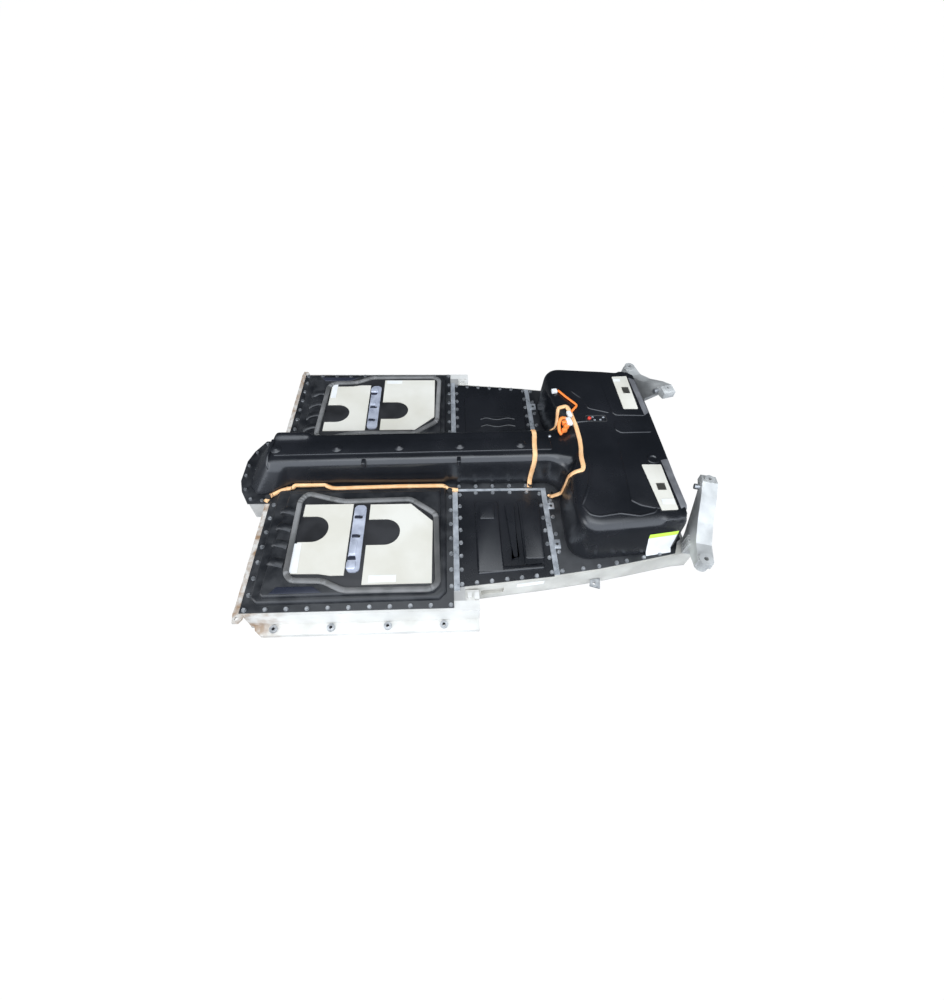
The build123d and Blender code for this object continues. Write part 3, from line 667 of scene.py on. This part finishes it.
def front_ribs():
    bm = bmesh.new()
    for s in (1, -1):
        for y in RIB_Y:
            path = [Vector((x, s * (y + shift), z)) for x, shift, z in RIB_PATH]
            sweep(bm, path, all_up(path), oval(38, 18, power=2.2))
    return piece(bm, "front_ribs", DUSTY)


def corner_facets():
    bm = bmesh.new()
    for turn in (list, mirrored):
        raise_outline(bm, turn(FACET_LINE), BLOCK_Z - 4, BLOCK_Z + 2.5, rim=2.0, lean=3.0)
    # painted reflection: the facets' bluish colour is the mirrored sky, painted in
    return piece(bm, "corner_facets", SKY_SHEEN_AND_SLOT_DARK)


front_ribs()
corner_facets()
print(2 * len(RIB_Y), "ribs and two facets")

# %% [markdown]
# The tunnel carries a flat raised band along its spine, with five low domed bosses,
# two small tabs on the near edge, and an arched rib where the nose begins.  Domes
# come from a spun quarter profile.  The band, bosses and tabs are made level and
# then lifted to the ramp.
# %% Tunnel band, bosses and tabs
BOSS_X = (-858, -584, -301, -23, 257)
TAB_X = (-456, -29)
TAB_Y = -80
DOME = [(0, 11), (9, 10), (15, 6), (21, 5), (24, 3), (24, 0), (0, 0)]
ARCH = [(-884, 60, 268), (-888, -40, 268), (-884, -80, 250), (-870, -100, 190), (-852, -112, 128)]


def spin_profile(bm, profile, at, steps=28):
    """Spins (radius, height) pairs about an upright axis through at, in millimetres."""
    chain = [bm.verts.new(Vector(at) * MM + Vector((r, 0, h)) * MM) for r, h in profile]
    edges = [bm.edges.new(pair) for pair in zip(chain, chain[1:])]
    bmesh.ops.spin(bm, geom=chain + edges, cent=Vector(at) * MM, axis=(0, 0, 1), angle=2 * math.pi,
                   steps=steps, use_duplicate=False)
    bmesh.ops.remove_doubles(bm, verts=bm.verts, dist=1e-6)


def tunnel_details():
    bm = bmesh.new()
    slab(bm, -862, -36, 400, 36, TUNNEL_TOP - 4, TUNNEL_TOP + 5, rim=3.0, corner=6.0)
    for x in BOSS_X:
        spin_profile(bm, DOME, (x, 0, TUNNEL_TOP + 3))
    for x in TAB_X:
        slab(bm, x - 9, TAB_Y - 14, x + 9, TAB_Y + 16, 262, TUNNEL_TOP + 3, rim=3.0, corner=4.0)
    for v in bm.verts:
        v.co.z += (ramp(v.co.x / MM) - TUNNEL_TOP) * MM
    arch = rounded_path(ARCH, 30)
    sweep(bm, arch, all_up(arch, (-0.5, -0.5, 0.7)), oval(16, 16, power=2.0))
    return piece(bm, "tunnel_band_and_bosses", COVER)


band = tunnel_details()
print("tunnel band", tuple(round(v, 3) for v in band.dimensions))

# %% [markdown]
# The top of the rear box has shallow raised panels with soft rims: an outline drawn
# up a few millimetres, with walls that lean in.
# %% Box panels
NEAR_PANEL = [(664, -366), (690, -34), (712, -14), (850, -9), (862, -120), (866, -392), (846, -402),
              (760, -408), (700, -392)]
MIDDLE_PANEL = [(700, 89), (868, 92), (864, 14), (716, 11), (692, 36)]
FAR_PANEL = [(699, 374), (768, 404), (846, 404), (858, 300), (862, 122), (720, 126), (703, 150)]


def box_panels():
    bm = bmesh.new()
    for outline in (NEAR_PANEL, MIDDLE_PANEL, FAR_PANEL):
        raise_outline(bm, outline, BOX_TOP - 6, BOX_TOP + 3.5, rim=2.6, lean=3.0, corner=10.0)
    return piece(bm, "box_panels", COVER)


panels = box_panels()
print("panels top", round(max(v.co.z for v in panels.data.vertices), 4))

# %% [markdown]
# Two pale pads lie at the rear of the box, slanted to its walls.  Beside the near
# one is the breather, a moulded ring with a sunk middle, spun from its profile.
# %% Rear pads and breather ring
NEAR_PAD = [(760, -178), (845, -179), (847, -413), (778, -415)]
FAR_PAD = [(764, 404), (842, 409), (839, 169), (768, 169)]
BREATHER = [(0, 2), (12, 2.5), (15, 5), (20, 7), (25, 5.5), (28, 0), (0, 0)]


def rear_pad(name, outline, replaced):
    bm = bmesh.new()
    raise_outline(bm, outline, BOX_TOP + 2, BOX_TOP + 6, rim=0.8, corner=4.0)
    return piece(bm, name, PLATE, [replaced])


def breather():
    bm = bmesh.new()
    spin_profile(bm, BREATHER, (821, -146, BOX_TOP + 1))
    return piece(bm, "vent_ring", COVER, ["vent_cap"])


rear_pad("rear_plate_near", NEAR_PAD, "rear_plate_right")
rear_pad("rear_plate_far", FAR_PAD, "rear_plate_left")
breather()
print("rear pads and breather in place")

# %% [markdown]
# A pale bevelled strip covers each half of the rear edge of the box.  Each one is a
# hull of eight corners with every edge rounded.
# %% Rear edge strips
REAR_STRIPS = (((862, -152), (888, -142), (893, -390), (872, -406)),
               ((858, 400), (880, 390), (888, 150), (870, 128)))


def rear_strips():
    bm = bmesh.new()
    for (ax, ay), (bx, by), (cx, cy), (dx, dy) in REAR_STRIPS:
        top = [(ax - 10, ay, 352), (bx - 2, by, 349), (cx - 2, cy, 349), (dx - 12, dy, 352)]
        low = [(ax, ay, 330), (bx + 12, by, 314), (cx + 12, cy, 314), (dx, dy, 330)]
        hull(bm, top + low)
    rounded(bm, list(bm.edges), 2.0, 2)
    return piece(bm, "rear_edge_strips", STRIP)


strips = rear_strips()
print("rear strips top", round(max(v.co.z for v in strips.data.vertices), 4))

# %% [markdown]
# Each foot cover is a thin lid.  Its stiffening shapes are pressed up from the
# sheet: an angled panel and a long slot on the near lid, a framed panel with two
# wavy ridges on the far one.
# %% Foot lids
LID_Z = 118.0
NEAR_LID = (
    ([(40, -556), (44, -206), (146, -202), (152, -556)], 9.0, dict(rim=3.0, lean=3.0, corner=9.0)),
    ([(60, -300), (62, -220), (130, -218), (130, -300)], 13.0, dict(rim=2.5, lean=2.5, corner=8.0)),
    ([(40, -566), (44, -530), (324, -524), (322, -545)], 8.6, dict(rim=3.0, lean=3.0, corner=8.0)),
    ([(177, -219), (223, -220), (215, -488), (190, -496)], 10.5, dict(rim=3.0, lean=3.0, corner=16.0)),
    ([(250, -190), (340, -190), (330, -500), (244, -500)], 8.0, dict(rim=2.0, lean=3.0, corner=14.0)),
)
FAR_LID = [(14, 200), (14, 510), (40, 540), (318, 520), (340, 480), (340, 200)]
WAVE = ((96, 0, 8), (130, 12, 9), (180, -8, 9), (240, 10, 9), (280, 0, 8))


def foot_reliefs():
    bm = bmesh.new()
    for outline, height, shape in NEAR_LID:
        raise_outline(bm, outline, LID_Z, LID_Z + height, **shape)
    raise_outline(bm, FAR_LID, LID_Z, LID_Z + 8, rim=3.0, lean=4.0, corner=16.0)
    for y in (278, 330):
        path = rounded_path([(x, y + shift, LID_Z + z) for x, shift, z in WAVE], 24)
        sweep(bm, path, all_up(path), oval(12, 10, power=2.2))
    return piece(bm, "foot_lid_reliefs", COVER)


lids = foot_reliefs()
print("foot lids rise to", round(max(v.co.z for v in lids.data.vertices), 4))

# %% [markdown]
# The service port is a shallow tray let into the box, with a red cap and four small
# contacts.  Its floor is an inset of the top face, pushed down.
# %% Service port
PORT_WALL = 0.005
PORT_DEPTH = 0.008
CONTACTS = ((606, 118), (640, 100), (657, 116), (612, 98))
CAP = [(0, 14), (6, 14), (8, 12), (8.5, 4), (8.5, 0), (0, 0)]


def port_rim():
    bm = bmesh.new()
    slab(bm, 572, 88, 672, 130, BOX_TOP - 6, BOX_TOP + 4, rim=1.5, corner=8.0)
    top = max(bm.faces, key=lambda f: f.calc_center_median().z)
    bmesh.ops.inset_region(bm, faces=[top], thickness=PORT_WALL, depth=0.0)
    level = [f for f in bm.faces if f.normal.z > 0.9]
    inner = max(level, key=lambda f: (round(f.calc_center_median().z, 5), f.calc_area()))
    bmesh.ops.translate(bm, vec=(0, 0, -PORT_DEPTH), verts=inner.verts)
    return piece(bm, "service_port_rim", RUBBER, ["service_port"])


def port_cap():
    bm = bmesh.new()
    spin_profile(bm, CAP, (589, 108, BOX_TOP - 5))
    return piece(bm, "service_plug_cap", RED, ["service_plug"])


def port_contacts():
    bm = bmesh.new()
    for x, y in CONTACTS:
        slab(bm, x - 5, y - 3, x + 5, y + 3, BOX_TOP - 5, BOX_TOP + 4, rim=0.8)
    return piece(bm, "port_contacts", SEAM)


port_rim()
port_cap()
port_contacts()
print("service port with", len(CONTACTS), "contacts")

# %% [markdown]
# Bolts clamp the rim every few centimetres.  Under each head lies a washer with a
# dull dusty face, and that washer is what the eye reads from a distance.
# %% Washers
WASHER_PROFILE = [(6.8, 0), (9.4, 0), (9.4, 1.2), (9, 1.6), (6.8, 1.6)]
RIM_ROWS = ((-870, 690, -72, 690, 11), (-867, 200, -867, 630, 7), (-69, 170, -69, 612, 7),
            (-28, 111, 290, 111, 5), (394, 200, 394, 556, 5))
REAR_RIM = [(483, 547.6), (553, 538.5), (632, 524.5), (677, 516.5), (755, 502.3), (828, 488.3)]
LID_ROWS = ((-26, 158, -26, 604, 8), (50, 148, 290, 148, 4), (349, 158, 349, 560, 7))
LID_SLANT_X = (35, 97, 160, 222, 284)
LID_SLANT = 37 / 393


def row(x0, y0, x1, y1, count):
    return [(x0 + (x1 - x0) * k / (count - 1), y0 + (y1 - y0) * k / (count - 1)) for k in range(count)]


def bolt_spots():
    rim = [spot for line in RIM_ROWS for spot in row(*line)] + REAR_RIM
    lid = [(x, 605 - LID_SLANT * (x + 35)) for x in LID_SLANT_X]
    lid += [spot for line in LID_ROWS for spot in row(*line)]
    spots = [(x, s * y, FLANGE_TOP) for x, y in rim for s in (1, -1)]
    return spots + [(x, s * y, LID_Z + 1) for x, y in lid for s in (1, -1)]


def washers():
    bm = bmesh.new()
    for spot in bolt_spots():
        spin_profile(bm, WASHER_PROFILE, spot, steps=16)
    return piece(bm, "bolt_washers", WASHER)


washers()
print(len(bolt_spots()), "washers round the rim and the lids")

# %% [markdown]
# Just in front of the rear box lie small bright blocks, two a side.  Each has a dark
# plug in the middle, made as a low disc on top of the block.
# %% Tab blocks
TABS = ((393, 230, 17), (391, 430, 22))
TAB_PLUG = [(0, 0.6), (6, 0.6), (6.5, 0), (0, 0)]


def tab_blocks():
    bm = bmesh.new()
    for s in (1, -1):
        for x, y, half in TABS:
            slab(bm, x - 14, s * y - half, x + 15, s * y + half, 119.5, 124.5, rim=1.0, corner=3.0)
    return piece(bm, "tab_blocks", SEAM)


def tab_plugs():
    bm = bmesh.new()
    for s in (1, -1):
        for x, y, _ in TABS:
            spin_profile(bm, TAB_PLUG, (x, s * y, 124.5), steps=20)
    return piece(bm, "tab_plugs", RUBBER)


tab_blocks()
tab_plugs()
print(2 * len(TABS), "tab blocks")

# %% [markdown]
# The taped harness is flat where it lies on the moulding.  Each run is a rough
# path that is stepped finely, settled on the skin, and then swept with a flattened
# oval that keeps its back to the surface.  The same settling lays the fine creases
# of the box, which are low ridges no wider than a finger.
# %% Settling on the skin
def eased(values):
    """Each value shares a little with its neighbours; the ends stay."""
    middle = [(a + b * 2 + c) / 4 for a, b, c in zip(values, values[1:], values[2:])]
    return [values[0]] + middle + [values[-1]]


def settle(points, lift, gap=14.0):
    on, ups = [], []
    for p in stepped(rounded_path(points, 9), gap):
        spot, normal, _, _ = skin.find_nearest(p * MM)
        on.append(spot / MM)
        ups.append(normal.normalized())
    ups = [up.normalized() for up in eased(ups)]
    return [p + n * lift for p, n in zip(eased(on), ups)], ups


def taped(name, points, width, height, replaced, lift=None):
    path, ups = settle(points, height * 0.42 if lift is None else lift)
    bm = bmesh.new()
    sweep(bm, path, ups, oval(width, height, power=2.4, count=14))
    return piece(bm, name, HARNESS, [replaced], smooth=70)


def crease(name, points):
    path, ups = settle(points, 0.2)
    bm = bmesh.new()
    sweep(bm, path, ups, oval(12, 6, power=2.0))
    return piece(bm, name, COVER, smooth=70)


print("settling ready")

# %% [markdown]
# One run follows the foot of the tunnel, one crosses over it, and one climbs the
# front of the rear box and loops back down on the far side.
# %% Harness runs and creases
RUN_TUNNEL = [(-904, -186, 124), (-888, -152, 126), (-868, -130, 132), (-812, -114, 132), (-790, -110, 136),
              (-708, -107, 136), (-652, -107, 136), (-600, -118, 130), (-470, -114, 131), (-300, -110, 132),
              (-100, -110, 132), (-84, -126, 130), (-66, -134, 124), (-34, -134, 124)]
RUN_CROSS = [(324, 136, 130), (326, 112, 200), (330, 96, 268), (330, 60, 294), (322, 0, 296), (318, -60, 294),
             (315, -84, 268), (308, -98, 180), (306, -122, 124)]
RUN_REAR = [(392, -166, 123), (404, -180, 160), (418, -190, 230), (432, -194, 300), (436, -204, 335),
            (496, -204, 350), (505, -182, 350), (505, -86, 350), (512, -13, 350), (511, 91, 350),
            (504, 158, 350), (494, 192, 350), (441, 190, 350), (416, 140, 280), (392, 104, 190)]
CREASES = (
    [(543, -114, 350), (540, -170, 350), (525, -226, 350), (506, -290, 350), (487, -330, 350),
     (462, -374, 345)],
    [(468, -384, 340), (486, -426, 345), (521, -436, 350), (606, -422, 350), (683, -436, 350),
     (749, -420, 350), (764, -398, 350)],
    [(600, 96, 350), (560, 92, 350), (520, 90, 350)],
    [(540, 300, 350), (580, 250, 350), (600, 180, 350), (690, 150, 350)],
)

taped("harness_tunnel_band", RUN_TUNNEL, 20, 15, "harness_tunnel", lift=8.0)
taped("harness_cross_band", RUN_CROSS, 22, 9, "harness_cross")
taped("harness_rear_band", RUN_REAR, 20, 9, "harness_rear")
for k, line in enumerate(CREASES):
    crease("crease_" + str(k), line)
print("three runs and", len(CREASES), "creases laid")

# %% [markdown]
# At the box the harness ends in an orange plug with its own short loop, white plug
# bodies, and a thin loose lead.  Plug bodies are cubes with every edge rounded.
# %% Plugs and loose lead
RUN_LEAD = [(505, 146, 350), (546, 192, 350), (494, 262, 350), (470, 300, 350)]
LEAD_LIFT = 7
LOOP = [(476, 104, 356), (452, 102, 362), (438, 76, 352), (440, 44, 330), (450, 38, 318)]
WHITE_PLUGS = (((452, 300, 350), (26, 22, 16)), ((495, 128, 359), (20, 34, 14)),
               ((486, 82, 357), (24, 42, 16)))
ORANGE_PLUGS = ((466, 80, 350), (472, 60, 346), (462, 46, 336))
ORANGE_PLUG_SIZE = (24, 16, 22)


def plug_block(bm, at, size, turn, edge):
    """A cube of the given size in millimetres, turned about Z, with rounded edges."""
    place = Matrix.Translation(Vector(at) * MM) @ Matrix.Rotation(turn, 4, "Z")
    stretch = Matrix.Diagonal((*[v * MM for v in size], 1))
    made = bmesh.ops.create_cube(bm, size=1.0, matrix=place @ stretch)
    rounded(bm, list({e for v in made["verts"] for e in v.link_edges}), edge, 3)


def loose_lead():
    path = []
    for p in stepped(rounded_path(RUN_LEAD, 14), 10.0):
        height = skin.find_nearest(p * MM)[0].z / MM
        path.append(Vector((p.x, p.y, height + LEAD_LIFT)))
    bm = bmesh.new()
    sweep(bm, path, all_up(path), oval(12, 10, power=2.0))
    return piece(bm, "loose_lead", ORANGE)


def white_plugs():
    bm = bmesh.new()
    for at, size in WHITE_PLUGS:
        plug_block(bm, at, size, 0.15, 2.0)
    return piece(bm, "white_plugs", WHITE)


def orange_plug():
    bm = bmesh.new()
    path = stepped(rounded_path(LOOP, 22), 8)
    sweep(bm, path, all_up(path, (0.1, 0, 1)), oval(16, 14, power=2.0))
    for at in ORANGE_PLUGS:
        plug_block(bm, at, ORANGE_PLUG_SIZE, 0.3, 3.0)
    return piece(bm, "orange_plug_loop", ORANGE, ["power_connector"])


loose_lead()
white_plugs()
orange_plug()
print("plugs and lead laid")

# %% [markdown]
# Labels stay blank: plain white patches where a maker would print, a lime band over
# the one on the box wall, and small dark windows in the two rear pads.  A patch on
# a curved wall is a fine grid whose points settle on the skin.
# %% Blank labels and windows
PAD_LABEL_Z = 156.3
REAR_LABEL_Z = 355.3
FLAT_LABELS = ((-728, -422, -690, -556, PAD_LABEL_Z, 0.05), (-400, -574, -291, -604, PAD_LABEL_Z, 0.0),
               (-708, 470, -680, 578, PAD_LABEL_Z, 0.0), (-414, 586, -330, 610, PAD_LABEL_Z, 0.0),
               (790, -362, 842, -388, REAR_LABEL_Z, 0.0), (765, 366, 800, 386, REAR_LABEL_Z, 0.0))
WALL_LABEL = [(766, -496, 128), (880, -480, 128), (868, -470, 246), (741, -490, 246)]
WALL_BAND = [(741, -488, 247), (868, -466, 247), (864, -462, 272), (738, -484, 274)]
RAIL_LABEL = [(206, -640, 72), (322, -630, 72), (322, -628, 100), (206, -638, 100)]
WINDOWS = ((792, -316, 828, -281), (794, 278, 828, 322))
LABEL_THICK = 0.0006
PATCH_CELLS = 8


def patch(bm, corners, tree, lift=0.35):
    """A sheet between four corners, settled on a skin and lifted clear, in millimetres."""
    made = bmesh.ops.create_grid(bm, x_segments=PATCH_CELLS, y_segments=PATCH_CELLS, size=0.5)
    a, b, c, d = (Vector(p) for p in corners)
    for v in made["verts"]:
        s, t = v.co.x + 0.5, v.co.y + 0.5
        flat = a.lerp(b, s).lerp(d.lerp(c, s), t) * MM
        spot, normal, _, _ = tree.find_nearest(flat)
        v.co = spot + normal * lift * MM


def flat_patch(bm, x0, y0, x1, y1, z, turn=0.0):
    middle = Vector(((x0 + x1) / 2, (y0 + y1) / 2, z)) * MM
    size = Matrix.Diagonal((abs(x1 - x0) * MM, abs(y1 - y0) * MM, LABEL_THICK, 1))
    place = Matrix.Translation(middle) @ Matrix.Rotation(turn, 4, "Z")
    bmesh.ops.create_cube(bm, size=1.0, matrix=place @ size)


def blank_labels():
    bm = bmesh.new()
    patch(bm, WALL_LABEL, skin)
    for label in FLAT_LABELS:
        flat_patch(bm, *label)
    return piece(bm, "blank_labels", WHITE)


def label_band():
    bm = bmesh.new()
    patch(bm, WALL_BAND, skin, lift=0.5)
    return piece(bm, "label_band", LIME)


def plate_windows():
    bm = bmesh.new()
    for window in WINDOWS:
        flat_patch(bm, *window, REAR_LABEL_Z + 0.1)
    return piece(bm, "plate_windows", WINDOW)


def rail_label():
    bm = bmesh.new()
    patch(bm, RAIL_LABEL, skin_of([nodes["rear_side_rail_right"]]))
    return piece(bm, "rail_label", WHITE)


blank_labels()
label_band()
plate_windows()
rail_label()
print(len(FLAT_LABELS) + 2, "labels left blank")

# %% [markdown]
# One small trim clip sits where the tunnel meets the box.
# %% Trim clip
CLIP = [(0, 4), (3, 4), (7, 1.5), (9, 0), (0, 0)]
CLIP_ABOVE = Vector((0.402, 0.052, 1))


def trim_clip():
    bm = bmesh.new()
    spot = skin.ray_cast(CLIP_ABOVE, DOWN)[0]
    spin_profile(bm, CLIP, tuple(spot / MM), steps=10)
    return piece(bm, "trim_clip", STEEL)


clip = trim_clip()
print("clip at height", round(max(v.co.z for v in clip.data.vertices), 4))

# %% [markdown]
# The room is plain.  What the camera sees, directly or through something clear, is
# white.  For every other ray the sky is bright and slightly blue on the near side and almost dark on the far
# side, so the near edges of the black cover shine and its top stays deep.
# %% Sky
NEAR_SKY = 2.4
FAR_SKY = 0.06
SKY_TINT = (0.82, 0.89, 1.0, 1)
PLAIN_WHITE = (1, 1, 1, 1)


def pale_world():
    world = bpy.data.worlds.new("pale_room")
    bpy.context.scene.world = world
    world.use_nodes = True
    tree = world.node_tree
    sky = tree.nodes["Background"]
    sky.inputs["Color"].default_value = SKY_TINT
    where = tree.nodes.new("ShaderNodeTexCoord")
    split = tree.nodes.new("ShaderNodeSeparateXYZ")
    tree.links.new(where.outputs["Generated"], split.inputs[0])
    strength = ranged(tree, split.outputs["Y"], -0.55, 0.30, NEAR_SKY, FAR_SKY)
    tree.links.new(strength, sky.inputs["Strength"])
    white = tree.nodes.new("ShaderNodeBackground")
    white.inputs["Color"].default_value = PLAIN_WHITE
    white.inputs["Strength"].default_value = 1.0
    path = tree.nodes.new("ShaderNodeLightPath")
    seen = tree.nodes.new("ShaderNodeMath")
    seen.operation = "MAXIMUM"
    tree.links.new(path.outputs["Is Camera Ray"], seen.inputs[0])
    tree.links.new(path.outputs["Is Transmission Ray"], seen.inputs[1])
    mix = tree.nodes.new("ShaderNodeMixShader")
    tree.links.new(seen.outputs[0], mix.inputs["Fac"])
    tree.links.new(sky.outputs[0], mix.inputs[1])
    tree.links.new(white.outputs[0], mix.inputs[2])
    tree.links.new(mix.outputs[0], tree.nodes["World Output"].inputs["Surface"])


pale_world()
print("sky from", NEAR_SKY, "near to", FAR_SKY, "far")

# %% [markdown]
# The floor is a matt sheet that glows white to the camera for most of its shade, so
# it stays white but keeps a trace of the pack's shadow.  Gloss sees it as dark grey,
# which keeps the upright walls of the cover black.
# %% Floor
FLOOR_GLOW = 1.02
GLOW_SHARE = 0.94
FLOOR_HALF_M = 30.0
FLOOR_DROP_M = 0.0005


def floor_finish():
    mat = bpy.data.materials.new("floor_white")
    mat.use_nodes = True
    tree = mat.node_tree
    shader = tree.nodes["Principled BSDF"]
    shader.inputs["Base Color"].default_value = (0.86, 0.86, 0.86, 1)
    shader.inputs["Roughness"].default_value = 0.9
    glow = tree.nodes.new("ShaderNodeEmission")
    glow.inputs["Color"].default_value = PLAIN_WHITE
    glow.inputs["Strength"].default_value = FLOOR_GLOW
    path = tree.nodes.new("ShaderNodeLightPath")
    share = tree.nodes.new("ShaderNodeMath")
    share.operation = "MULTIPLY"
    share.inputs[1].default_value = GLOW_SHARE
    tree.links.new(path.outputs["Is Camera Ray"], share.inputs[0])
    mix = tree.nodes.new("ShaderNodeMixShader")
    tree.links.new(share.outputs[0], mix.inputs["Fac"])
    tree.links.new(shader.outputs[0], mix.inputs[1])
    tree.links.new(glow.outputs[0], mix.inputs[2])
    dull = tree.nodes.new("ShaderNodeBsdfDiffuse")
    dull.inputs["Color"].default_value = (0.10, 0.10, 0.10, 1)
    gloss = tree.nodes.new("ShaderNodeMixShader")
    tree.links.new(path.outputs["Is Glossy Ray"], gloss.inputs["Fac"])
    tree.links.new(mix.outputs[0], gloss.inputs[1])
    tree.links.new(dull.outputs[0], gloss.inputs[2])
    tree.links.new(gloss.outputs[0], tree.nodes["Material Output"].inputs["Surface"])
    return mat


def pale_floor():
    bm = bmesh.new()
    bmesh.ops.create_grid(bm, x_segments=1, y_segments=1, size=FLOOR_HALF_M)
    bmesh.ops.translate(bm, vec=(0, 0, -FLOOR_DROP_M), verts=bm.verts)
    mesh = bpy.data.meshes.new("floor")
    bm.to_mesh(mesh)
    bm.free()
    mesh.materials.append(floor_finish())
    floor = bpy.data.objects.new("floor", mesh)
    bpy.context.collection.objects.link(floor)
    return floor


floor = pale_floor()
print("floor lies", FLOOR_DROP_M, "m under the pack")

# %% [markdown]
# Two soft lamps help the sky: a wide one overhead for the pads and rails, and a
# weaker one in front of the nose for the slopes that face it.
# %% Lamps
def lamp(name, at, aim, size, watts, tint=(1, 1, 1)):
    data = bpy.data.lights.new(name, "AREA")
    data.shape = "RECTANGLE"
    data.size, data.size_y = size
    data.energy = watts
    data.color = tint
    obj = bpy.data.objects.new(name, data)
    obj.location = at
    obj.rotation_euler = (Vector(aim) - Vector(at)).to_track_quat("-Z", "Y").to_euler()
    bpy.context.collection.objects.link(obj)


lamp("sky_panel", (0.0, -0.5, 3.6), (0, 0, 0.1), (4.0, 2.4), 70, (0.90, 0.95, 1.0))
lamp("front_panel", (-3.0, -1.2, 1.5), (-0.5, 0, 0.1), (1.6, 1.8), 22)
print("room lit")
